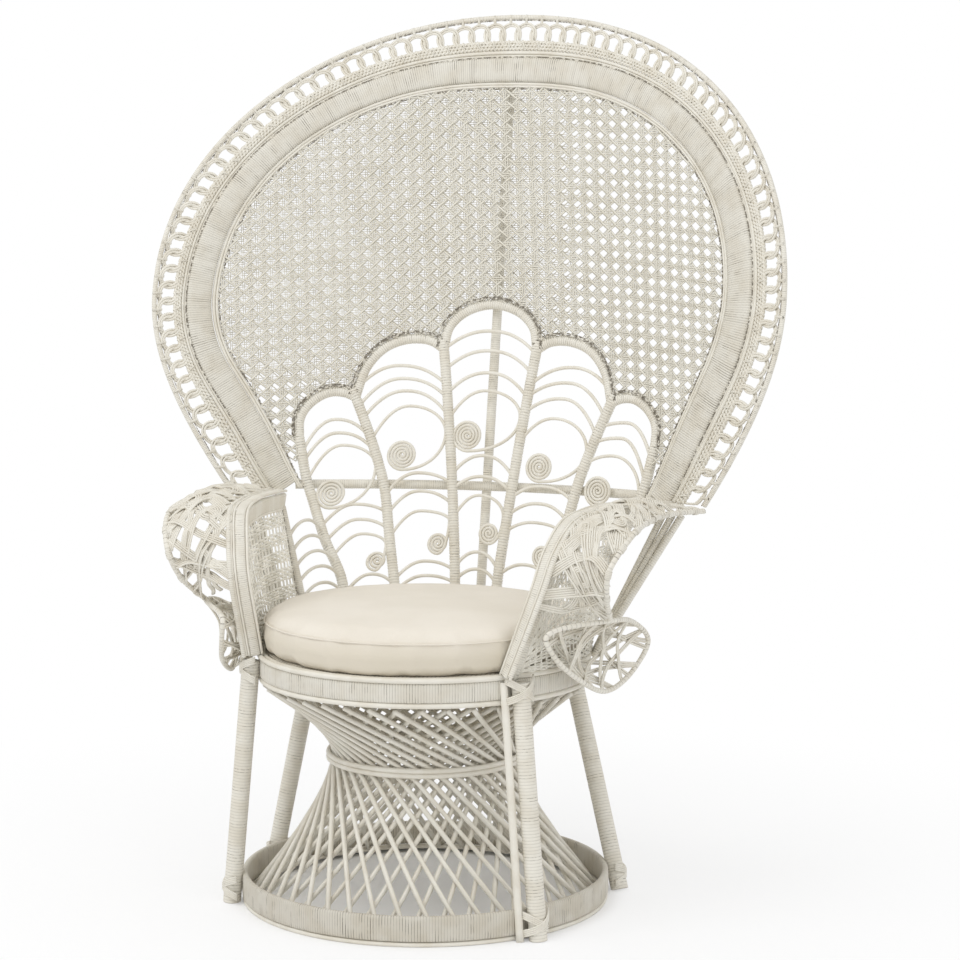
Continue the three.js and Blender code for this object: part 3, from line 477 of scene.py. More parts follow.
base = {
    "outer": 308, "wall": 11, "ringTop": 50, "ringGap": 0.3, "wrapTurn": 4.6,
    "hoopTop": 7.4, "hoopInset": 5.7, "hoopHalf": (3.7, 4.5), "hoopTurn": 12,
    "rods": 40, "rodRadius": 4.2,
    "foot": (291.9, 7.2), "waist": (152, 243), "head": (268.1, 366.4),  # radius and height
    "lowerTwist": 50, "upperTwist": 54,
    "innerStep": (13, 9.4, 16.5),  # how far the inner rods stand in at the foot, waist and head
    "tieRadius": 3.1, "tieHeights": (6.5, 8.2),
    "waistHoop": 161.4, "waistApart": 4.1,
}
seat = {
    "outer": 277, "wall": 11, "bandBottom": 380, "bandTop": 412, "top": 419.921, "wrapTurn": 4.4,
    "hoopRadius": 4.4, "lowerHoop": (272.6, 375.9), "topHoops": (275.5, 267.3), "topHoopHeight": 416.11,
}


def band(outer, wall, low, high, turn):
    middle = ring(outer - wall / 2, (low + high) / 2)
    return wrap(middle, ((high - low) / 2, wall / 2), outwards(middle), turn, 0.8, True, 14, 0.45, 3)


def rod(step, turn, index):
    start = (index + 0.5) * 360 / base["rods"]
    stations = []
    for (radius, z), inwards, twist in zip((base["foot"], base["waist"], base["head"]), step,
                                           (0, base["lowerTwist"], base["lowerTwist"] + base["upperTwist"])):
        stations.append(around(radius - inwards, start - turn * twist, z))
    foot, waist, head = (np.array(s) for s in stations)
    low = foot + (waist - foot) * np.linspace(0, 0.93, 14)[:, None]
    high = waist + (head - waist) * np.linspace(0.1, 1, 12)[:, None]
    corner = (low[-1] + high[0]) / 4 + waist / 2
    line = np.vstack([low, corner, high])
    return line, base["rodRadius"] * seed.uniform(0.93, 1.04)


outerRods = [rod((0, 0, 0), 1, i) for i in range(base["rods"])]
innerRods = [rod(base["innerStep"], -1, i) for i in range(base["rods"])]
footRadius = base["foot"][0]
ties = [hoop(footRadius + way * base["tieRadius"], height)
        for way, height in zip((1, -1), base["tieHeights"])]
narrower = (footRadius - base["innerStep"][0]) / footRadius
innerTies = [line * (narrower, narrower, 1) for line in ties]
for layerName, rods, rodTies in (("outer", outerRods, ties), ("inner", innerRods, innerTies)):
    rodNodes = [f"{layerName}_rods_{number}" for number in range(1, 6)]
    canes(f"{layerName}Rods", rodNodes, rods, base["rodRadius"], sides=8,
          rings=[(line, base["tieRadius"]) for line in rodTies])
hoopLine = ring(base["outer"] - base["hoopInset"], base["hoopTop"] / 2)
wrapped("baseHoop", ["base_hoop"],
        [wrap(hoopLine, base["hoopHalf"], outwards(hoopLine), base["hoopTurn"], 0.15,
                                         True, 10, 0.8)], "cane")
# painted shade: the base ring takes the darker low coats
wrapped("baseRing", ["base_ring"], [band(base["outer"], base["wall"], base["hoopTop"] + base["ringGap"],
                                         base["ringTop"], base["wrapTurn"])], "shadedLowBand")
waistHoops = [hoop(base["waistHoop"], base["waist"][1] + side * base["waistApart"]) for side in (-1, 1)]
canes("waistHoops", ["waist_hoops"], [], seat["hoopRadius"], sides=10, rings=waistHoops)
print("base done")

# Seat

wrapped("seatRing", ["seat_ring"], [band(seat["outer"], seat["wall"], seat["bandBottom"], seat["bandTop"],
                                         seat["wrapTurn"])], "band")
canes("seatHoopLower", ["seat_hoop_lower"], [], seat["hoopRadius"], sides=10,
      rings=[hoop(*seat["lowerHoop"])])
canes("seatHoopsUpper", ["seat_hoops_upper"], [], seat["hoopRadius"], sides=10,
      rings=[hoop(radius, seat["topHoopHeight"]) for radius in seat["topHoops"]])
print("seat done")

# Legs and the thin pole beside the front right one

legs = {
    "radius": 15, "poleRadius": 6.5, "notch": 2.2, "headHeight": 409, "footLevel": 0.4,
    "angles": {"front_left": (-64, -62), "front_right": (52, 50), "back_right": (112, 142),
               "back_left": (-106, -121)},  # at the foot and the head
    "poleTurn": 5.07, "wrapTurn": 5.2,
    "bindings": ((396, 26, 17), (28, 24, 15)),  # height, half width and rise
    "straps": 4, "strapGap": 3.1, "strapRadius": 1.7, "strapIn": 5.5, "strapBulge": 22.0, "strapOver": 0.8,
}


def poleLine(footAngle, headAngle, radius):  # outside both rings, as it clears the base ring's top
    headRadius = seat["outer"] + radius - legs["notch"]
    share = base["ringTop"] / legs["headHeight"]
    turn = math.radians(headAngle - footAngle)
    offset = headRadius * share * math.sin(turn)
    reach = math.sqrt((base["outer"] + radius - legs["notch"]) ** 2 - offset**2)
    footRadius = (reach - headRadius * share * math.cos(turn)) / (1 - share)
    return evenly([around(footRadius, footAngle, legs["footLevel"]),
                   around(headRadius, headAngle, legs["headHeight"])], 20)


def crossed(middle, out, half, rise):  # straps of thin cane that cross over a joint
    up = np.array([0, 0, 1.0])
    side = np.cross(up, out)
    t = np.linspace(-1, 1, 11)[:, None]
    lines = []
    for slope in (-1, 1):
        for strap in range(legs["straps"]):
            shift = (strap - (legs["straps"] - 1) / 2) * legs["strapGap"]
            lift = legs["strapBulge"] * (1 - t**2) - legs["strapIn"] + (legs["strapOver"] if slope > 0 else 0)
            lines.append(middle + side * (t * half) + up * (t * rise * slope + shift) + out * lift)
    return lines


binding = []
for name, (footAngle, headAngle) in legs["angles"].items():
    line = poleLine(footAngle, headAngle, legs["radius"])
    turns, marks = wrap(line, legs["radius"], outwards(line), legs["wrapTurn"], 0.35, sides=16)
    turns[..., 2] = np.maximum(turns[..., 2], legs["footLevel"])  # a leaning pole is cut level at its foot
    wrapped("leg_" + name.title().replace("_", ""), ["leg_" + name], [(turns, marks)])
    for height, half, rise in legs["bindings"]:
        middle = line[0] + (line[-1] - line[0]) * height / legs["headHeight"]
        binding += crossed(middle, outwards(middle), half, rise)
poleAngles = [angle - legs["poleTurn"] for angle in legs["angles"]["front_right"]]
canes("sidePole", ["side_pole"], [poleLine(*poleAngles, legs["poleRadius"])], legs["poleRadius"], sides=12)
canes("legBindings", [], binding, legs["strapRadius"])
print("legs done")

# Back: one dished surface that leans back

back = {
    "seatTop": 419.921, "foot": 268, "lean": 226, "wing": 222, "halfWidth": 570,
    "seatWing": 84, "seatHalfWidth": 200, "endHeight": 652, "height": 1500,
    "endHalfWidth": 435, "widest": 1000, "round": 0.95, "straight": 820, "squeeze": 0.096,
    "flank": [(570, 880), (505, 760)],  # what draws the outline in below its widest place
}


def backDepth(u, z):
    lean = back["lean"] * (z - back["seatTop"]) / (back["height"] - back["seatTop"])
    share = ease(z, back["seatTop"], back["endHeight"])
    fanBow = back["wing"] * (u / back["halfWidth"]) ** 2
    seatBow = back["seatWing"] * (u / back["seatHalfWidth"]) ** 2
    return back["foot"] + lean - fanBow * share - seatBow * (1 - share)


def facingOut(u, z):  # the way the surface faces, towards the front
    acrossSlope = backDepth(u + 0.5, z) - backDepth(u - 0.5, z)
    upSlope = backDepth(u, z + 0.5) - backDepth(u, z - 0.5)
    return unit(np.stack(np.broadcast_arrays(acrossSlope, -1.0, upSlope), axis=-1))


def onBack(flat, out=0.0):  # (u, z) points to the surface
    flat = np.asarray(flat, float)
    u, z = flat[..., 0], flat[..., 1]
    middle = np.stack([u, backDepth(u, z), z], axis=-1)
    return middle + facingOut(u, z) * np.asarray(out, float)[..., None]


def outlineLine():
    turn = np.linspace(np.pi / 2, 0, 400)[:-1]
    quarter = np.column_stack([back["halfWidth"] * np.cos(turn) ** back["round"],
            back["widest"] + (back["height"] - back["widest"]) * np.sin(turn) ** back["round"]])
    t = np.linspace(0, 1, 200)[:, None]
    knots = np.array([(back["halfWidth"], back["widest"]), *back["flank"],
                      (back["endHalfWidth"], back["endHeight"])], float)
    flank = ((1 - t) ** 3 * knots[0] + 3 * (1 - t) ** 2 * t * knots[1] + 3 * (1 - t) * t**2 * knots[2]
             + t**3 * knots[3])
    half = np.vstack([quarter, flank])
    return evenly(np.vstack([(half * (-1, 1))[:0:-1], half]), 3000)


outline = outlineLine()
outlineLength = along(outline)[-1]
outlineTangent = unit(np.gradient(outline, axis=0))


# Widths of the border and the band along the outline from its left end, as shares of the top's
fanWidths = {
    "border": [1, 0.62, 0.65, 0.76, 0.88, 1, 0.9, 0.83, 0.8, 0.86, 1],
    "band": [1, 0.86, 0.85, 0.88, 0.95, 1, 1.02, 1.05, 1.06, 1.05, 1],
    "borderStart": 9.3, "bandStart": 77.6, "bandEnd": 122.9,
}


def through(values, share):  # a smooth line through evenly spaced values
    values = np.asarray(values, float)
    spot = np.clip(np.asarray(share, float), 0, 1) * (len(values) - 1)
    index = np.minimum(spot.astype(int), len(values) - 2)
    t = spot - index
    first, last = values[index], values[index + 1]
    start = (last - values[np.maximum(index - 1, 0)]) / 2
    end = (values[np.minimum(index + 2, len(values) - 1)] - first) / 2
    return ((2 * first - 2 * last + start + end) * t**3 + (3 * last - 3 * first - 2 * start - end) * t**2
            + start * t + first)


def narrowed(share, depth):
    borderStart, bandStart, bandEnd = (fanWidths[key] for key in ("borderStart", "bandStart", "bandEnd"))
    return (np.minimum(depth, borderStart)
            + (np.clip(depth, borderStart, bandStart) - borderStart) * through(fanWidths["border"], share)
            + (np.clip(depth, bandStart, bandEnd) - bandStart) * through(fanWidths["band"], share)
            + np.maximum(np.asarray(depth, float) - bandEnd, 0))


def layer(share, depth):  # (u, z) at a share of the outline, inwards from it
    share = np.asarray(share, float)
    point, tangent = at(outline, share), at(outlineTangent, share)
    fade = ease(point[..., 1], back["endHeight"], back["straight"])
    inwards = unit(np.stack([tangent[..., 1], -tangent[..., 0] * fade], axis=-1))
    reach = narrowed(share, depth) * (1 - back["squeeze"] * (1 - fade))
    return point + inwards * reach[..., None]


def fan(share, depth, out=0.0):
    share, depth, out = np.broadcast_arrays(np.asarray(share, float), depth, out)
    return onBack(layer(share, depth), out)


def fanFacing(share, depth):
    flat = layer(share, np.broadcast_to(depth, np.shape(share)))
    return facingOut(flat[..., 0], flat[..., 1])


everyShare = np.linspace(0, 1, 900)

# Fan rim, border loops, rail, band and edging

border = {
    "pitch": 30.3, "caneRadius": 2.1, "caneShift": 1.9,
    "spread": 0.62, "lift": 17.0,  # how much wider and nearer the rim the loops are where the border narrows
    "liftEnd": 33, "liftOver": 14.6,  # the depth at which they are no nearer, and what the change takes
    # half a loop: shares of the pitch across and millimetres in from the rim, with its lift
    "loop": [(0.0, 18.4, 1.2), (0.2, 18.9, 1.4), (0.4, 21.8, 2.2), (0.54, 26.5, 1.8), (0.61, 33.0, 0.4),
             (0.612, 38.0, -0.6), (0.575, 44.0, -1.6), (0.49, 49.5, -2.4), (0.35, 54.0, -1.4),
             (0.16, 58.5, 0.0)],
}
loopCount = int(round(outlineLength / border["pitch"]))
pitchShare = 1 / loopCount
middles = (np.arange(loopCount) + 0.5) * pitchShare

halfLoop = np.array(border["loop"]) * (border["pitch"], 1, 1)
leftHalf = (halfLoop * (-1, 1, -1))[:0:-1]
wholeLoop = bent(np.vstack([leftHalf, halfLoop]), 5.0)
loopSlope = unit(np.gradient(wholeLoop[:, :2], axis=0))
loops = []
for middle in middles:
    slim = 1 - float(through(fanWidths["border"], middle))
    wider = 1 + border["spread"] * slim
    nearer = border["lift"] * slim * np.clip((border["liftEnd"] - wholeLoop[:, 1]) / border["liftOver"], 0, 1)
    for lane in (-1, 1):
        shift = border["caneShift"] * lane * wider * seed.uniform(0.9, 1.1)
        shares = middle + (wholeLoop[:, 0] - loopSlope[:, 1] * shift) / border["pitch"] * pitchShare
        depths = wholeLoop[:, 1] - nearer + loopSlope[:, 0] * shift
        kept = (shares > 0.0005) & (shares < 0.9995)
        if kept.sum() > 6:
            line = fan(shares[kept], depths[kept], wholeLoop[kept, 2])
            loops.append((line, border["caneRadius"] * wider))
canes("borderLoops", ["fan_border"], loops, border["caneRadius"])

# Ties have four points, each with its lift; depths are millimetres in from the outline
fanRim = {
    "depth": 4.5, "radius": 4.5, "turn": 3.0,
    "tieHalf": (2.9, 2.8), "tieDepths": (1.2, 18.6), "tieMiddle": 9.0, "tieLifts": [3.4, 3.0, 2.2, 1.6],
}
rail = {
    "rows": (50.6, 56.4, 62.0), "rowRadius": 2.4, "swayIn": 1.5, "swayOut": 2.2, "lift": 0.6,
    "straight": [(69.2, 1.2, 65.6, 72.8), (74.6, 0.8, 72.4, 76.8)],  # depth, lift and the depths it fills
    "radius": 3.5,
    "tieRadius": 1.9, "tieDepths": (46.5, 65.5), "tieMiddle": 56.0, "tieLifts": [0.4, 4.4, 4.8, 2.4],
    "tieLean": (-0.16, -0.02), "tieShape": [1.0, 0.4, -0.3, -1.0], "tieTurn": 2.6,
}
fanBand = {"low": 78.2, "high": 122.8, "facing": 100.4, "half": 8.8, "turn": 4.0}
edging = {"canes": [(125.6, 2.4), (130.4, 1.6)], "radius": 2.45}
# painted shade: thin dark canes along the fan, in the shadow lines beside the band, inside the edging and by
# the rim
fanShadowGapPlaces = {
    "steps": 1500, "radius": 1.4, "beside": 77.5, "inside": 134.4, "rim": 10.0, "lift": 2.0, "rimLift": 0.2,
}

rimParts = [wrap(fan(everyShare, fanRim["depth"]), fanRim["radius"], fanFacing(everyShare, fanRim["depth"]),
                 fanRim["turn"], 0.45, sides=10)]
for middle in middles:
    line = fan(np.full(4, middle), np.linspace(*fanRim["tieDepths"], 4), fanRim["tieLifts"])
    facing = fanFacing(middle, fanRim["tieMiddle"])
    rimParts.append(wrap(line, fanRim["tieHalf"], facing, rail["tieTurn"], 0.5, sides=6, fine=2))
wrapped("fanHoop", ["fan_hoop"], rimParts)

waves = np.linspace(0, 1, loopCount * 14 + 1)
phase = waves / pitchShare * 2 * np.pi
railRuns = []
for row, depth in enumerate(rail["rows"]):
    for offset in (0.0, np.pi):
        swing = 2 * phase + offset + row * np.pi / 2
        lift = rail["lift"] + rail["swayOut"] * np.sin(swing)
        line = fan(waves, depth + rail["swayIn"] * np.cos(swing), lift)
        railRuns.append((line, rail["rowRadius"]))


def spanning(low, high):  # half of what lies between two depths, all along the fan
    return np.linalg.norm(fan(everyShare, high) - fan(everyShare, low), axis=1) / 2


for depth, lift, low, high in rail["straight"]:
    railRuns.append((fan(everyShare, depth, lift), spanning(low, high)))
canes("fanRail", ["fan_rail"], railRuns, rail["radius"])
railTies = []
for middle in middles:
    lean = seed.uniform(*rail["tieLean"]) * pitchShare
    shares = middle + np.array(rail["tieShape"]) * lean
    line = fan(shares, np.linspace(*rail["tieDepths"], 4), rail["tieLifts"])
    railTies.append(wrap(line, rail["tieRadius"], fanFacing(middle, rail["tieMiddle"]), rail["tieTurn"], 0.6,
                         sides=6, fine=2))
wrapped("railTies", [], railTies)

bandLine = (fan(everyShare, fanBand["low"]) + fan(everyShare, fanBand["high"])) / 2
bandHalf = (spanning(fanBand["low"], fanBand["high"]), fanBand["half"])
wrapped("fanBand", ["fan_band"], [wrap(bandLine, bandHalf, fanFacing(everyShare, fanBand["facing"]),
                                       fanBand["turn"], 0.9, sides=14, square=0.5)], "band")
edges = [(fan(everyShare, depth, lift), spanning(depth - edging["radius"], depth + edging["radius"]))
         for depth, lift in edging["canes"]]
canes("fanEdging", ["fan_edging"], edges, edging["radius"], sides=8)
shadowGapShare = np.linspace(0, 1, fanShadowGapPlaces["steps"])


def ragged(low, high):
    return seed.uniform(low, high, fanShadowGapPlaces["steps"])


fanShadowGapRuns = [(fan(shadowGapShare, fanShadowGapPlaces["beside"], fanShadowGapPlaces["lift"]), 1.4 + ragged(-0.3, 0.3)),
            (fan(shadowGapShare, fanShadowGapPlaces["inside"] + ragged(-0.7, 0.7), fanShadowGapPlaces["lift"]), ragged(0.9, 2.1)),
            (fan(shadowGapShare, fanShadowGapPlaces["rim"], fanShadowGapPlaces["rimLift"]), 0.9 + ragged(-0.4, 0.4))]
canes("fanShadowGaps", [], fanShadowGapRuns, fanShadowGapPlaces["radius"], "shadowGap")
print("fan rim done")

# Petals and stems

petals = {
    "valleys": [(87, 900), (238, 813)], "apex": 979,
    "middle": [(79, 938), (50, 966)],
    "inner": [(112, 914), (152, 916), (192, 901), (222, 866)],
    "outer": [(258, 821), (284, 821), (312, 804), (328, 778)], "outerEnd": 742, "weaveEnd": 698,
    "radius": 7.5, "wider": 1.5, "stemRadius": 9, "stemWider": 0.6, "headRise": 15, "edge": 133.2,
    "wrapTurn": 4.2, "stemTurn": 5.0,
    # two thin dark canes beside each petal, painted shade along its edge: how far away and raised, and the
    # second one's radius
    "shadowGapAway": (2.5, 5.2), "shadowGapRaised": 6.6, "shadowGapRadius": 1.3,
    "stems": [[(80, 852), (66, 745), (55, 650), (40, 500)],
              [(205, 735), (180, 662), (163, 583), (142, 490)],
              [(306, 652), (268, 573), (224, 499)]],
    "feet": [36, 130, 205],
}


def mirroredFlat(points):
    return [(-u, z) for u, z in points]


def edgeAt(z):
    shares = np.linspace(0.5, 1, 2000)
    flat = layer(shares, petals["edge"] + petals["stemRadius"])
    return float(np.interp(-z, -flat[:, 1], flat[:, 0]))


def petalPaths():
    inner, outer = petals["valleys"]
    half = [inner] + petals["middle"]
    middle = mirroredFlat(half) + [(0, petals["apex"])] + half[::-1]
    second = [inner] + petals["inner"] + [outer]
    end = (min(petals["outer"][-1][0], edgeAt(petals["outerEnd"])), petals["outerEnd"])
    third = [outer] + petals["outer"] + [end]
    return [mirroredFlat(third)[::-1], mirroredFlat(second)[::-1], middle, second, third]


def stemPaths():
    right = []
    for index, stem in enumerate(petals["stems"]):
        if index < 2:
            valley = np.array(petals["valleys"][index], float)
            lift = unit(valley - stem[0]) * petals["headRise"]
            head = tuple(valley + lift)
        else:
            head = petalPaths()[4][-1]
        right.append([head] + stem + [(petals["feet"][index], back["seatTop"])])
    return [mirroredFlat(stem) for stem in right[::-1]] + right


def seated(line):
    return np.column_stack([line[:, :2], np.maximum(line[:, 2], seat["top"] + 0.4)])


stems = [bent(stem, 4) for stem in stemPaths()]
petalShadowGaps = []
for index, path in enumerate(petalPaths()):
    flat = bent(path, 4)
    line = onBack(flat)
    facing = facingOut(flat[:, 0], flat[:, 1])
    away = unit(np.cross(facing, unit(np.gradient(line, axis=0))))
    # painted shade: two thin dark canes along the petal's edge
    first, second = (petals["radius"] + gap for gap in petals["shadowGapAway"])
    loose = line + away * (first + seed.uniform(-0.9, 0.9, (len(line), 1)))
    loose += facing * seed.uniform(5.6, 8.2, (len(line), 1))
    petalShadowGaps.append((loose, seed.uniform(0.9, 1.9, len(loose))))
    petalShadowGaps.append((line + away * second + facing * petals["shadowGapRaised"], petals["shadowGapRadius"]))
    half = (petals["radius"] + petals["wider"], petals["radius"])
    wrapped(f"petal{index + 1}", [f"petal_{index + 1}"],
            [wrap(line, half, facing, petals["wrapTurn"], 0.8, sides=12)])
canes("petalShadowGaps", [], petalShadowGaps, 1.5, "shadowGap")

curls = {
    "radius": 2.85, "archRadius": 3.15, "pitch": 5.7, "eye": 0.9,
    "top": 0.48,  # share across at which an arch is highest
    "tuck": 4, "turnTuck": 2,  # how far a cane's end goes into its stem
    # for each space from left to right: heights of a cane's left end, top and right end
    "arches": [
        [(722, 773, 748), (704, 749, 724), (590, 623, 612), (565, 597, 584), (478, 504, 490)],
        [(825, 869, 840), (801, 846, 817), (780, 824, 787), (645, 679, 664), (612, 647, 628), (498, 525, 512),
         (478, 500, 490)],
        [(902, 932, 897), (867, 897, 862), (825, 858, 820), (683, 712, 680), (655, 675, 652), (522, 543, 517),
         (497, 513, 493)],
        [(843, 871, 827), (822, 844, 792), (794, 816, 759), (643, 662, 642), (613, 632, 608),
         (508, 526, 507)],
        [(772, 780, 727), (745, 753, 686), (612, 623, 590), (584, 597, 565), (490, 504, 478)],
    ],
    # a lead's left end, top and right turn, then its scroll's height, radius and gap beside it
    "scrolls": [
        [(671, 727, 688, 641, 25, 0), (540, 572, 552, 526, 16, 0)],
        [(742, 797, 749, 710, 26, 11), (572, 612, 596, 556, 18, 2)],
        [(782, 826, 781, 746, 27, -3), (609, 642, 606, 576, 18, 2)],
        [(745, 781, 728, 695, 25, 12), (583, 599, 583, 543, 18, 3)],
        [(709, 722, 662, 660, 26, 8), (552, 572, 540, 526, 16, 0)],
    ],
}


def across(stem, z):
    return float(np.interp(-z, -stem[:, 1], stem[:, 0]))


def archHalf(end, endHeight, top, topHeight, power):
    share = np.linspace(0, 1, 12)[:, None]
    return np.hstack([end + (top - end) * share, topHeight - (topHeight - endHeight) * (1 - share) ** power])


def thinArch(left, right, heights):
    start = across(left, heights[0]) + petals["stemRadius"] - curls["tuck"]
    end = across(right, heights[2]) - petals["stemRadius"] + curls["tuck"]
    top = start + (end - start) * curls["top"]
    rising = archHalf(start, heights[0], top, heights[1], 2.2)
    falling = archHalf(end, heights[2], top, heights[1], 2.3)[::-1]
    return evenly(np.vstack([rising, falling[1:]]), 26)


def quarterTurn(first, last, middle, reach, z, rise):  # angles in degrees, without the first point
    angle = np.radians(np.linspace(first, last, 12))[1:, None]
    return np.hstack([middle + reach * np.cos(angle), z + rise * np.sin(angle)])


def curl(left, right, heights, upper):
    startHeight, topHeight, turnHeight, z, size, gap = heights
    leftEdge = across(left, z) + petals["stemRadius"]
    rightEdge = across(right, z) - petals["stemRadius"]
    middle = leftEdge + gap + size if upper else rightEdge - gap - size
    start = across(left, startHeight) + petals["stemRadius"] - curls["tuck"]
    turn = across(right, turnHeight) - petals["stemRadius"] + curls["turnTuck"]
    top = start + (turn - start) * curls["top"]
    rising = archHalf(start, startHeight, top, topHeight, 2.2)
    falling = quarterTurn(90, 0, top, turn - top, turnHeight, topHeight - turnHeight)
    returning = quarterTurn(0, -90, middle, turn - middle, turnHeight, turnHeight - z + size)
    turns = (size - curls["eye"]) / curls["pitch"]
    share = np.linspace(0, 1, int(turns * 24))[1:, None]
    angle = -np.pi / 2 - share * turns * 2 * np.pi
    radius = size - (size - curls["eye"]) * share
    scroll = np.hstack([middle + radius * np.cos(angle), z + radius * np.sin(angle)])
    return np.vstack([evenly(np.vstack([rising, falling, returning]), 60), scroll])


for index, stem in enumerate(stems):
    last = index == len(stems) - 1  # no space lies beyond it, and the last petal's solid holds it
    wrapped(f"stem{index + 1}", [] if last else [f"stem_{index + 1}"],
            [wrap(seated(onBack(stem)), petals["stemRadius"] + petals["stemWider"],
                  facingOut(stem[:, 0], stem[:, 1]), petals["stemTurn"], 1.1, sides=12)])
    if not last:
        runs = [(onBack(thinArch(stem, stems[index + 1], heights)), curls["archRadius"])
                for heights in curls["arches"][index]]
        runs += [onBack(curl(stem, stems[index + 1], heights, order == 0), 1.0)
                 for order, heights in enumerate(curls["scrolls"][index])]
        canes(f"scrolls{index + 1}", [], runs, curls["radius"], sides=8)
print("petals and stems done")

# Cross bar and rear post, behind the surface

bars = {
    "radius": 8.5, "half": 328, "height": 660.0, "behind": 17.8, "turn": 3.4,
    "postFoot": (0, 290.2, 385), "postTop": 1400.0, "postBehind": 22.4, "postTurn": 4.0,
}
barFlat = np.column_stack([np.linspace(-1, 1, 60) * bars["half"], np.full(60, bars["height"])])
barLine = onBack(barFlat, np.full(60, -bars["behind"]))
wrapped("crossBar", ["cross_bar"], [wrap(barLine, bars["radius"], None, bars["turn"], 0.6, sides=12)])
postTop = onBack(np.array([0.0, bars["postTop"]]), np.array(-bars["postBehind"]))
postLine = evenly([bars["postFoot"], postTop], 60)
wrapped("rearPost", ["rear_post"], [wrap(postLine, bars["radius"], None, bars["postTurn"], 0.5, sides=12)])

# Woven panels: pairs of upright and level strands, and strands that slant both ways

weave = {
    "across": 25.0, "up": 20.7, "originU": -8.0, "originZ": 1283.0, "slant": -0.1, "bow": 1.3e-4,
    "columns": (-26, 27), "rows": (-32, 12), "slants": 60, "sway": 0.7, "slantSway": 1.1,
    "pair": 1.7, "upright": 1.35, "level": 1.3, "slanted": 2.0, "half": 0.6, "rearShare": 0.5,
    "front": (5.2, 0.5, 0.5), "back": (-8.2, 0.04, 0.63),  # lift, and shift in steps across and up
    # the rear layer's drift in steps, to the right of which it fades, and where the lower left corner starts
    "driftUp": 0.5, "driftEnd": (80, 190),
    "cornerAcross": 0.33, "cornerLeft": (250, 340), "cornerLow": (-900, -790),
}
bowU = np.linspace(-560, 560, 2241)
bowArc = along(np.column_stack([bowU, back["wing"] * (bowU / back["halfWidth"]) ** 2]))
bowArc -= np.interp(0, bowU, bowArc)


def woven(a, b):  # weave steps across and up, to (u, z)
    z = weave["originZ"] + b * weave["up"]
    slanted = a * weave["across"] + weave["originU"] + weave["slant"] * (z - weave["originZ"])
    u = np.interp(slanted, bowArc, bowU)
    return np.stack([u, z - weave["bow"] * u**2], axis=-1)


def inside(flat, shape):  # whether points lie inside a closed outline
    x, y = flat[:, 0][:, None], flat[:, 1][:, None]
    x0, y0 = shape[:, 0], shape[:, 1]
    x1, y1 = np.roll(x0, -1), np.roll(y0, -1)
    crosses = (y0 > y) != (y1 > y)
    with np.errstate(divide="ignore", invalid="ignore"):
        where = x0 + (y - y0) * (x1 - x0) / (y1 - y0)
    return (np.sum(crosses & (x < where), axis=1) % 2) == 1


upperShares = np.linspace(0, 1, 1200)
upper = layer(upperShares, np.full(1200, 131.5))
upper = upper[upper[:, 1] > petals["weaveEnd"]]
lower = np.vstack([bent(path, 12) for path in petalPaths()])
besideStem = np.array([across(stems[5], petals["weaveEnd"]), petals["weaveEnd"]])
lower = np.vstack([besideStem * (-1, 1), lower, besideStem])
panelShape = np.vstack([upper, lower[::-1]])


def drifted(flat):  # the rear layer's rows and columns drift against the front layer's
    u, z = flat[:, 0], flat[:, 1]
    corner = ease(-u, *weave["cornerLeft"]) * ease(-z, *weave["cornerLow"])
    up = weave["driftUp"] * (1 - ease(u, *weave["driftEnd"])) * (1 - corner) * weave["up"]
    return flat + np.stack([-weave["cornerAcross"] * corner * weave["across"], up], axis=-1)


def strand(a, b, out, half, rear):  # what of it lies inside the panel, as ribbons
    flat = woven(a, b)
    if rear:
        flat = drifted(flat)
        half = half * weave["rearShare"]
    runs, start = [], None
    for index, kept in enumerate(np.append(inside(flat, panelShape), False)):
        if kept and start is None:
            start = index
        if not kept and start is not None:
            if index - start > 2:
                part = flat[start:index]
                runs.append(flatCane(onBack(part, out[start:index]), (half, weave["half"]),
                                     facingOut(part[:, 0], part[:, 1])))
            start = None
    return runs


def netting(name, nodes, place, rear=False):
    out, shiftA, shiftB = place
    (left, right), (bottom, top) = weave["columns"], weave["rows"]
    runs = []
    for column in range(left, right):
        for side in (-1, 1):
            b = np.arange(bottom, top, 0.5)
            a = np.full(len(b), column + shiftA) + side * weave["pair"] / weave["across"]
            wave = weave["sway"] * np.cos(np.pi * (b - shiftB) + (0 if column % 2 else np.pi))
            runs += strand(a, b, out + wave, weave["upright"], rear)
    for row in range(bottom, top):
        for side in (-1, 1):
            a = np.arange(left, right, 0.5)
            b = np.full(len(a), row + shiftB) + side * weave["pair"] / weave["up"]
            wave = -weave["sway"] * np.cos(np.pi * (a - shiftA) + (0 if row % 2 else np.pi))
            runs += strand(a, b, out + wave, weave["level"], rear)
    for way in (-1, 1):
        for start in range(-weave["slants"], weave["slants"] + 1):
            a = np.arange(left, right - 0.99, 0.25)
            b = way * (a - shiftA) + start + 0.5 + shiftB
            wave = way * weave["slantSway"] * np.cos(2 * np.pi * (a - shiftA))
            keep = (b > bottom) & (b < top)
            if keep.sum() > 3:
                runs += strand(a[keep], b[keep], (out + wave)[keep], weave["slanted"], rear)
    # painted light: the rear layer takes the lightened weave colour against its shade
    wrapped(name, nodes, runs, "wovenPaintedLight" if rear else "woven")


netting("canePanelFront", ["cane_panel_front"], weave["front"])
netting("canePanelBack", ["cane_panel_back"], weave["back"], True)
print("woven panels done")

# Arms, worked out for the right side; the left one is its mirror image with its own foot

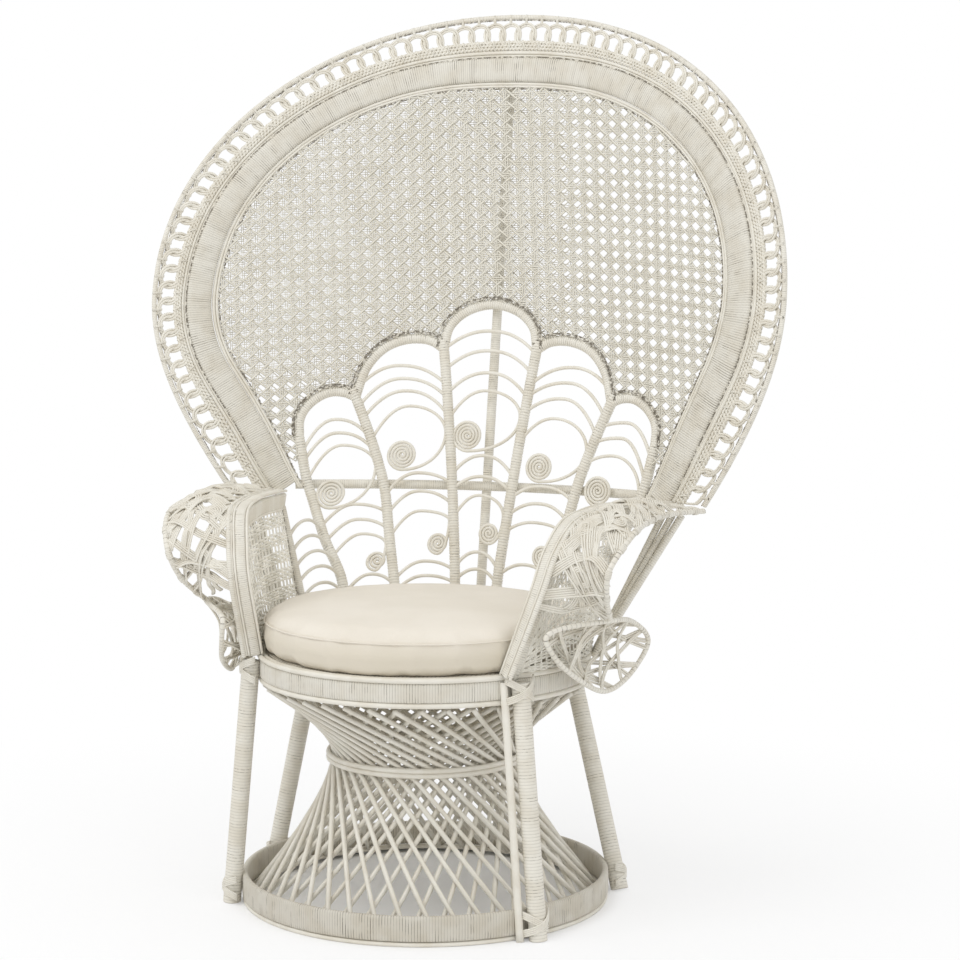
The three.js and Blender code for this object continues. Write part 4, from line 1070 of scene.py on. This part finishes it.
arms = {
    "edge": [(342, 227, 650.5), (318, 165, 658), (296, 90, 665), (281, -40, 668), (268, -122, 656),
             (252, -164, 612), (240, -186, 560)],
    "footAngle": {"left": 58, "right": 44}, "footRadius": 276, "seatGap": 0.3,
    "trims": [(2.2, -2.6, 2.3), (10.0, -2.6, 2.0), (33.8, -1.6, 2.6), (2.0, 19.0, 2.0), (3.4, 22.6, 1.8),
              (8.0, 17.0, 1.8)],  # depth, lift and radius
    "postAngle": 113, "postShare": 0.17, "postDepth": 26.0, "postInset": 4, "postRadius": 7.5,
}
panel = {
    "end": 0.9, "depth": 27.6, "besidePost": 9.1, "besideFoot": 34, "lift": 0.6,
    "stakes": 22, "rows": 50, "stakeRadius": 1.9, "rowRadius": 1.95, "slits": (5, 6), "slitEvery": 7,
}
ruffle = {
    "rim": [(432, 180, 645), (402, 86, 650), (400, -108, 655), (391, -168, 638), (370, -207, 594),
            (360, -183, 550), (347, -111, 502)],
    "end": 0.8, "depth": 5.0, "out": 26.0, "bulge": 22, "rimRadius": 4.5, "rimTies": 11,
    "strips": 24, "caneRadius": 1.9, "gap": 3.5, "sway": 2.2, "length": 620, "reach": 110,
    "lengthwise": [(0.34, 0.14, 7), (0.68, 0.12, 8)],  # height, swing and waves
    "rings": [(0.2, 0.32, 13), (0.36, 0.6, 15), (0.5, 0.3, 14), (0.62, 0.66, 15), (0.72, 0.28, 13),
              (0.86, 0.5, 14)],  # shares along and up, and radius
}
cup = {
    "rim": [(346, -112, 500.5), (362, -10, 482), (371, 46, 442), (352, 20, 398), (328, -48, 376),
            (306, -140, 408), (280, -200, 456), (272, -214, 488)],
    "depth": 34, "rimRadius": 4.2, "spokes": 9, "reach": (3.4, 2.6), "apart": 2.0, "caneRadius": 1.9,
}
stay = {"radius": 6, "apart": 16, "footAngle": 103, "footOut": 4.5, "head": (386, 150, 640), "turn": 4.2}
sideCurls = {
    "arches": [(578, 604, 574), (552, 578, 548), (526, 552, 522), (500, 526, 497), (472, 498, 470)],
    "radius": 3.0,
}


class Arm:
    def __init__(self, side):
        self.side = side
        self.title = side.title()
        self.flip = (-1, 1, 1) if side == "left" else (1, 1, 1)
        self.angle = arms["footAngle"][side]
        foot = around(arms["footRadius"], self.angle, seat["top"] + arms["seatGap"])
        self.line = bent(arms["edge"] + [tuple(foot)], 4)
        self.tangent = unit(np.gradient(self.line, axis=0))
        self.length = along(self.line)[-1]

    def frame(self, share):
        share = np.atleast_1d(np.asarray(share, float))
        point, tangent = at(self.line, share), unit(at(self.tangent, share))
        outward = outwards(point)
        outward = unit(outward - np.sum(outward * tangent, axis=1, keepdims=True) * tangent)
        return point, outward, np.cross(outward, tangent)

    def place(self, share, depth, out=0.0):
        point, outward, within = self.frame(share)
        place = point + within * np.reshape(depth, (-1, 1)) + outward * np.reshape(out, (-1, 1))
        place[:, 2] = np.maximum(place[:, 2], seat["top"] + arms["seatGap"])
        return place

    def post(self):
        head = self.place(arms["postShare"], arms["postDepth"])[0] - (0, 0, arms["postInset"])
        footRadius = arms["footRadius"] - arms["postInset"]
        return around(footRadius, arms["postAngle"], seat["top"] + arms["seatGap"]), head

    def out(self, points):
        return np.asarray(points) * self.flip


def armPieces(arm):
    share = np.linspace(0, 1, 150)
    _, outward, within = arm.frame(share)
    outFacing, frontFacing = outward * arm.flip, -within * arm.flip
    inner = wrap(arm.out(arm.place(share, 19.6)), (13.4, 4.4), outFacing, 4.2, 0.8, sides=12, square=0.5)
    front = wrap(arm.out(arm.place(share, 3.4, 8.4)), (8.6, 3.0), frontFacing, 3.4, 0.5, sides=10, square=0.6)
    outer = wrap(arm.out(arm.place(share, 3.6, 27.2)), 4.3, outFacing, 3.4, 0.5, sides=10)
    wrapped(f"armBand{arm.title}", [f"arm_band_{arm.side}"], [inner, front, outer])
    trims = [(arm.out(arm.place(share, depth, out)), radius) for depth, out, radius in arms["trims"]]
    canes(f"armTrim{arm.title}", [], trims, 2.4, sides=8)
    wrapped(f"armPost{arm.title}", [f"arm_post_{arm.side}"],
            [wrap(arm.out(evenly(arm.post(), 20)), arms["postRadius"], None, 3.4, 0.5, sides=12)])


def armPanel(arm):
    start = arms["postAngle"] - math.degrees(panel["besidePost"] / arms["footRadius"])
    end = arm.angle + math.degrees(panel["besideFoot"] / arms["footRadius"])
    fromShare = arms["postShare"] + panel["besidePost"] / arm.length

    def place(x, y, out):
        x, y, out = np.broadcast_arrays(np.asarray(x, float), y, out)
        bottom = around(arms["footRadius"], start + (end - start) * x, seat["top"] + panel["lift"])
        top = arm.place(fromShare + (panel["end"] - fromShare) * x, panel["depth"])
        return bottom + (top - bottom) * y[..., None] - outwards(bottom) * out[..., None]

    stakes, rows = panel["stakes"], panel["rows"]
    runs = []
    for stake in range(stakes):
        x = np.full(16, (stake + 0.5) / stakes)
        runs.append((arm.out(place(x, np.linspace(0, 1, 16), 0.0)), panel["stakeRadius"]))
    x = np.linspace(0, 1, stakes * 2 + 1)
    for row in range(rows):
        y = (row + 0.5) / rows
        if row % panel["slitEvery"] in panel["slits"]:
            continue
        sway = (1 if row % 2 else -1) * panel["stakeRadius"] * np.cos(np.pi * x * stakes)
        runs.append((arm.out(place(x, y + seed.uniform(-0.1, 0.1) / rows, sway)), panel["rowRadius"]))
    # painted light: the panel takes the lightened weave colour against its shade
    canes(f"armPanel{arm.title}", [f"arm_panel_{arm.side}"], runs, panel["rowRadius"], "wovenPaintedLight", sides=4)
    # painted shade: a thin dark cane along the panel's rear edge, for the shadow slot beside the post
    y = np.linspace(0.01, 0.98, 60)
    edge = place(np.full(60, 0.012) + seed.uniform(-0.004, 0.004, 60), y, 1.5)
    canes(f"panelShadowGaps{arm.title}", [], [(arm.out(edge), seed.uniform(1.2, 2.4, 60))], 2.0, "shadowGap")


# Canes side by side in a flat strip over a surface, weaving in and out
def strip(surface, start, end, curve, lanes, swayPhase):
    t = np.linspace(0, 1, 26)
    path = np.array(start) + (np.array(end) - start) * t[:, None]
    path[:, 0] += curve * np.sin(np.pi * t)
    middle = surface(path[:, 0], path[:, 1], np.zeros(len(t)))
    normal = unit(surface(path[:, 0], path[:, 1], np.ones(len(t))) - middle)
    side = unit(np.cross(unit(np.gradient(middle, axis=0)), normal))
    sway = ruffle["sway"] * np.cos(np.pi * (t * 4 + swayPhase))
    shifts = [(lane - (lanes - 1) / 2) * ruffle["gap"] for lane in range(lanes)]
    return [middle + side * shift + normal * sway[:, None] for shift in shifts]


def rufflePieces(arm):
    rim = bent(ruffle["rim"], 4)

    def inner(x):
        return arm.place(np.clip(x, 0, 1) * ruffle["end"], ruffle["depth"], ruffle["out"])

    def surface(x, y, lift):
        start, reach = inner(x), at(rim, x) - inner(x)
        normal = unit(np.cross(inner(x + 0.04) - inner(x - 0.04), reach))
        bulge = ruffle["bulge"] * np.sin(np.pi * y) * np.sin(np.pi * np.clip(x, 0, 1))
        return start + reach * y[:, None] + normal * (bulge + lift)[:, None]

    lines = []
    for place in 1.2 * np.linspace(0, 1, ruffle["strips"]) ** 0.86 - 0.1:
        for way in (-1, 1):
            start = place + seed.uniform(-0.015, 0.015)
            end = start + way * (0.2 + seed.uniform(-0.06, 0.06))
            if min(start, end) < -0.02 or max(start, end) > 1.02:
                continue
            curve, lanes = seed.uniform(-0.05, 0.05), seed.integers(3, 6)
            lines += strip(surface, (start, 0.0), (end, 0.98), curve, lanes, 0 if way > 0 else 1)
    x = np.linspace(0.01, 0.99, 150)
    for height, swing, waves in ruffle["lengthwise"]:
        for lane in (-1, 0, 1):
            y = height + swing * np.sin(waves * np.pi * x) + lane * ruffle["gap"] / ruffle["reach"]
            lines.append(surface(x, y, 1.8 * np.cos(5 * waves * np.pi * x)))
    turn = np.linspace(0, 2 * np.pi, 25)
    for x, y, size in ruffle["rings"]:  # round turns that lock the strips
        for lane in (-1, 0, 1):
            radius = size + lane * 3.4
            lines.append(surface(x + radius * np.cos(turn) / ruffle["length"],
                                 y + radius * np.sin(turn) / ruffle["reach"], 2.6 + 1.6 * np.sin(2 * turn)))
    canes(f"armRuffle{arm.title}", [f"arm_ruffle_{arm.side}"], [arm.out(line) for line in lines],
          ruffle["caneRadius"])
    rimLine = arm.out(rim)
    facing = outwards(rimLine)
    parts = [wrap(rimLine, ruffle["rimRadius"], facing, 9.0, 0.15, sides=10)]
    for place in np.linspace(0.05, 0.95, ruffle["rimTies"]):
        index = int(place * (len(rim) - 1))
        window = rimLine[max(index - 2, 0):index + 2]
        if len(window) > 2:
            parts.append(wrap(window, ruffle["rimRadius"] + 1.3, facing[index], 2.6, 0.5, sides=10))
    wrapped(f"ruffleRim{arm.title}", [], parts)


def cupPieces(arm):
    rim = bent(cup["rim"], 4, closed=True)
    middle = np.array(cup["rim"], float).mean(axis=0)
    inward = -outwards(middle)
    t = np.linspace(0, 1, 18)[:, None]
    lines = []
    for index in range(cup["spokes"]):
        for way in cup["reach"]:
            spokes = (index, index + way)
            first, last = (rim[int(spoke / cup["spokes"] * len(rim)) % len(rim)] for spoke in spokes)
            reach = (np.linalg.norm(first - middle) + np.linalg.norm(last - middle)) / 2
            lowest = np.linalg.norm((first + last) / 2 - middle) / reach
            bowl = 4 * t * (1 - t) * (1 - lowest**2)
            side = unit(np.cross(last - first, inward))
            sway = 1.6 * np.cos(np.pi * (t * 3 + index))
            for shift in (-cup["apart"], cup["apart"]):
                lines.append(arm.out(first + (last - first) * t + inward * (cup["depth"] * bowl + sway)
                                     + side * shift))
    canes(f"ruffleCup{arm.title}", [f"ruffle_cup_{arm.side}"], lines, cup["caneRadius"])
    rimLine = arm.out(rim)
    facing = np.broadcast_to(inward * arm.flip, rimLine.shape)
    wrapped(f"cupRim{arm.title}", [], [wrap(rimLine, cup["rimRadius"], facing, 9.0, 0.15, True, sides=10)])


def sideStays(arm):
    for index in range(3):
        shift = (index - 1) * stay["apart"]
        turn = math.degrees(shift / seat["outer"])
        foot = around(seat["outer"] + stay["footOut"], stay["footAngle"] + turn, seat["bandTop"])
        line = arm.out(evenly([foot, stay["head"] - np.array((shift, 0, 0))], 30))
        wrapped(f"sideStay{arm.title}{index + 1}", [f"side_stay_{arm.side}_{index + 1}"],
                [wrap(line, stay["radius"], None, stay["turn"], 0.35, sides=10)])


def sideArches(arm):  # thin arches from the arm's rear post to the outermost stem
    foot, head = arm.post()
    stem = onBack(stems[-1])[::-1]
    share = np.linspace(0, 1, 24)
    runs = []
    for heights in sideCurls["arches"]:
        start = foot + (head - foot) * (heights[0] - foot[2]) / (head[2] - foot[2])
        end = np.array([np.interp(heights[2], stem[:, 2], stem[:, k]) for k in range(3)])
        line = start + (end - start) * share[:, None]
        flat = np.vstack([archHalf(0.0, heights[0], 0.5, heights[1], 2.2),
                          archHalf(1.0, heights[2], 0.5, heights[1], 2.2)[::-1]])
        line[:, 2] = np.interp(share, flat[:, 0], flat[:, 1])
        runs.append(arm.out(line))
    canes(f"sideArches{arm.title}", [], runs, sideCurls["radius"], sides=8)


for side in ("left", "right"):
    arm = Arm(side)
    for makePieces in (armPieces, sideArches, armPanel, rufflePieces, cupPieces, sideStays):
        makePieces(arm)
print("arms done")

# Cushion

work = bmesh.new()
work.from_mesh(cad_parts["cushion"].data)
bmesh.ops.remove_doubles(work, verts=work.verts, dist=1e-5)
mesh = bpy.data.meshes.new("cushionPad")
work.to_mesh(mesh)
work.free()
pad = bpy.data.objects.new("cushionPad", mesh)
bpy.context.scene.collection.objects.link(pad)


def applied(piece):
    shape = piece.evaluated_get(bpy.context.evaluated_depsgraph_get())
    mesh = bpy.data.meshes.new_from_object(shape)
    piece.modifiers.clear()
    piece.data = mesh


remesh = pad.modifiers.new("even", "REMESH")
remesh.mode = "VOXEL"
remesh.voxel_size = cloth["voxel"]
applied(pad)
rest = corners(pad.data)
puff = pad.modifiers.new("puff", "CLOTH")
puff.settings.use_pressure = True
puff.settings.uniform_pressure_force = cloth["pressure"]
puff.settings.effector_weights.gravity = 0
puff.settings.quality = 5
puff.point_cache.frame_start, puff.point_cache.frame_end = 1, cloth["steps"]
for step in range(1, cloth["steps"] + 1):
    bpy.context.scene.frame_set(step)
applied(pad)
bpy.context.scene.frame_set(1)
shift = corners(pad.data) - rest
outward = unit((rest - rest.mean(axis=0)) * (1, 1, 0))
inwardPull = np.minimum(np.sum(shift * outward, axis=1, keepdims=True), 0)
shift -= outward * inwardPull  # the sides stay out
far = np.linalg.norm(shift, axis=1, keepdims=True)
shift *= np.minimum(1, cloth["cap"] / np.maximum(far, 1e-9))
made = rest + shift
made[:, 2] = np.maximum(made[:, 2], rest[:, 2].min())
pad.data.vertices.foreach_set("co", made.ravel())
fuller = corners(pad.data)
middle = (fuller.min(axis=0) + fuller.max(axis=0)) / 2 * (1, 1, 0)
fuller = middle + (fuller - middle) * (cloth["fuller"], cloth["fuller"], 1)
pad.data.vertices.foreach_set("co", fuller.ravel())
smoother = pad.modifiers.new("fine", "SUBSURF")
smoother.levels = smoother.render_levels = 1
applied(pad)
pad.data.polygons.foreach_set("use_smooth", np.ones(len(pad.data.polygons), bool))
dressed(pad, ["cushion"], "cloth", "cushion")

# Its seam goes round where the pad is widest in each direction, near one height
shape = corners(pad.data)
seamZ = shape[:, 2].min() + cloth["seamHeight"]
near = shape[np.abs(shape[:, 2] - seamZ) < cloth["seamReach"]] - (0, axisY, 0)
bearing = np.arctan2(near[:, 0], -near[:, 1])
reach = np.hypot(near[:, 0], near[:, 1])
spots = np.linspace(-np.pi, np.pi, cloth["seamSpots"] + 1)[:-1]
farthest = [reach[np.abs((bearing - spot + np.pi) % (2 * np.pi) - np.pi) < cloth["seamTurn"]].max()
            for spot in spots]
farthest = np.convolve(np.concatenate([farthest[-2:], farthest, farthest[:2]]), np.full(5, 0.2), "valid")
seam = np.stack([farthest * np.sin(spots), -farthest * np.cos(spots), np.full(len(spots), seamZ)], axis=1)
seam *= 1000
canes("cushionSeam", [], [], cloth["seamRadius"], "cloth", 8, [seam], "cushion")
print("cushion done")

# What stays as in model.glb: the deck and its bearers

wood = {
    "light": tone(214, 196, 160), "dark": tone(182, 158, 118), "roughness": 0.7, "deckWeave": 0.0062,
    "stretch": (60, 4, 60), "streakScale": 3.0, "bumpDepth": 0.0006,
}
deckFinish = paintedFinish("deckCane", 0.6, grid=wood["deckWeave"])
woodFinish = Finish("bearerWood")
mapping = woodFinish.add("ShaderNodeMapping", None, {"Vector": woodFinish.place, "Scale": wood["stretch"]})
streaks = woodFinish.noise(wood["streakScale"], 4.0, woodFinish.out(mapping))
woodFinish.feed("Base Color", woodFinish.blend(streaks, wood["light"], wood["dark"]))
woodFinish.plain({"Roughness": wood["roughness"]})
woodFinish.raised(streaks, wood["bumpDepth"])
for name, material in (("seat_deck", deckFinish), ("seat_bearer_left", woodFinish.material),
                       ("seat_bearer_right", woodFinish.material)):
    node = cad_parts[name]
    node.data.materials.clear()
    node.data.materials.append(material)

# Studio

studio = {
    "azimuth": 17.606, "elevation": 6.1176, "distance": 4.0, "lens": 90.57, "sensor": 36,
    "aside": 0.09188, "height": 0.7017, "clipEnd": 60,
    "sky": 0.82, "skyColour": (0.99, 0.995, 1, 1),
    "lamps": {"key": ((-1.3, -2.2, 3.7), 2.4, 41), "fill": ((2.9, -2.6, 2.4), 2.8, 14)},  # place, size, watts
    "aim": (0, 0, 0.7),
    "floorHalf": 7, "floorColour": (0.97, 0.97, 0.97, 1),
    # metres from the base's axis, and the share of white where it starts
    "whiteFrom": 0.4, "whiteTo": 1.5, "whiteShare": 0.62, "baseEdge": (0.29, 0.34),
}
turn, tilt = math.radians(studio["azimuth"]), math.radians(studio["elevation"])
towards = Vector((math.sin(turn) * math.cos(tilt), -math.cos(turn) * math.cos(tilt), math.sin(tilt)))
target = Vector((math.cos(turn), math.sin(turn), 0)) * studio["aside"] + Vector((0, axisY, studio["height"]))
camera = bpy.data.objects.new("camera", bpy.data.cameras.new("camera"))
bpy.context.scene.collection.objects.link(camera)
camera.data.lens = studio["lens"]
camera.data.sensor_width = studio["sensor"]
camera.location = target + towards * studio["distance"]
camera.rotation_euler = (-towards).to_track_quat("-Z", "Y").to_euler()
camera.data.clip_end = studio["clipEnd"]
bpy.context.scene.camera = camera
bpy.context.scene.view_settings.view_transform = "Standard"

for name, (place, size, power) in studio["lamps"].items():
    light = bpy.data.lights.new(name, "AREA")
    light.shape = "DISK"
    light.size, light.energy = size, power
    holder = bpy.data.objects.new(name, light)
    holder.location = place
    holder.rotation_euler = (Vector(studio["aim"]) - Vector(place)).to_track_quat("-Z", "Y").to_euler()
    bpy.context.scene.collection.objects.link(holder)

world = bpy.data.worlds.new("studio")
bpy.context.scene.world = world
sky = Nodes(world, "World Output")
lit = sky.tree.nodes["Background"]
lit.inputs["Color"].default_value = studio["skyColour"]
lit.inputs["Strength"].default_value = studio["sky"]
seen = sky.add("ShaderNodeBackground", None, {"Color": (1, 1, 1, 1)})
sky.mixed(sky.seenDirectly(), lit, seen)

work = bmesh.new()
bmesh.ops.create_grid(work, x_segments=1, y_segments=1, size=studio["floorHalf"])
mesh = bpy.data.meshes.new("floor")
work.to_mesh(mesh)
work.free()
floor = bpy.data.objects.new("floor", mesh)
bpy.context.scene.collection.objects.link(floor)
paleFloor = Finish("paleFloor")
paleFloor.plain({"Base Color": studio["floorColour"], "Roughness": 0.9, "Specular IOR Level": 0.1})
fromAxis = paleFloor.out(paleFloor.add("ShaderNodeVectorMath", {"operation": "DISTANCE"},
                                       {0: paleFloor.place, 1: (0, axisY, 0)}), "Value")
outsideBase = paleFloor.between(fromAxis, *studio["baseEdge"])
whiter = paleFloor.between(fromAxis, studio["whiteFrom"], studio["whiteTo"], studio["whiteShare"], 1.0)
white = paleFloor.add("ShaderNodeEmission", None, {"Strength": 1.0})
paleFloor.mixed(whiter * paleFloor.seenDirectly() * outsideBase, paleFloor.shader, white)
mesh.materials.append(paleFloor.material)
floor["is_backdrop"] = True

low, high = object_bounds()
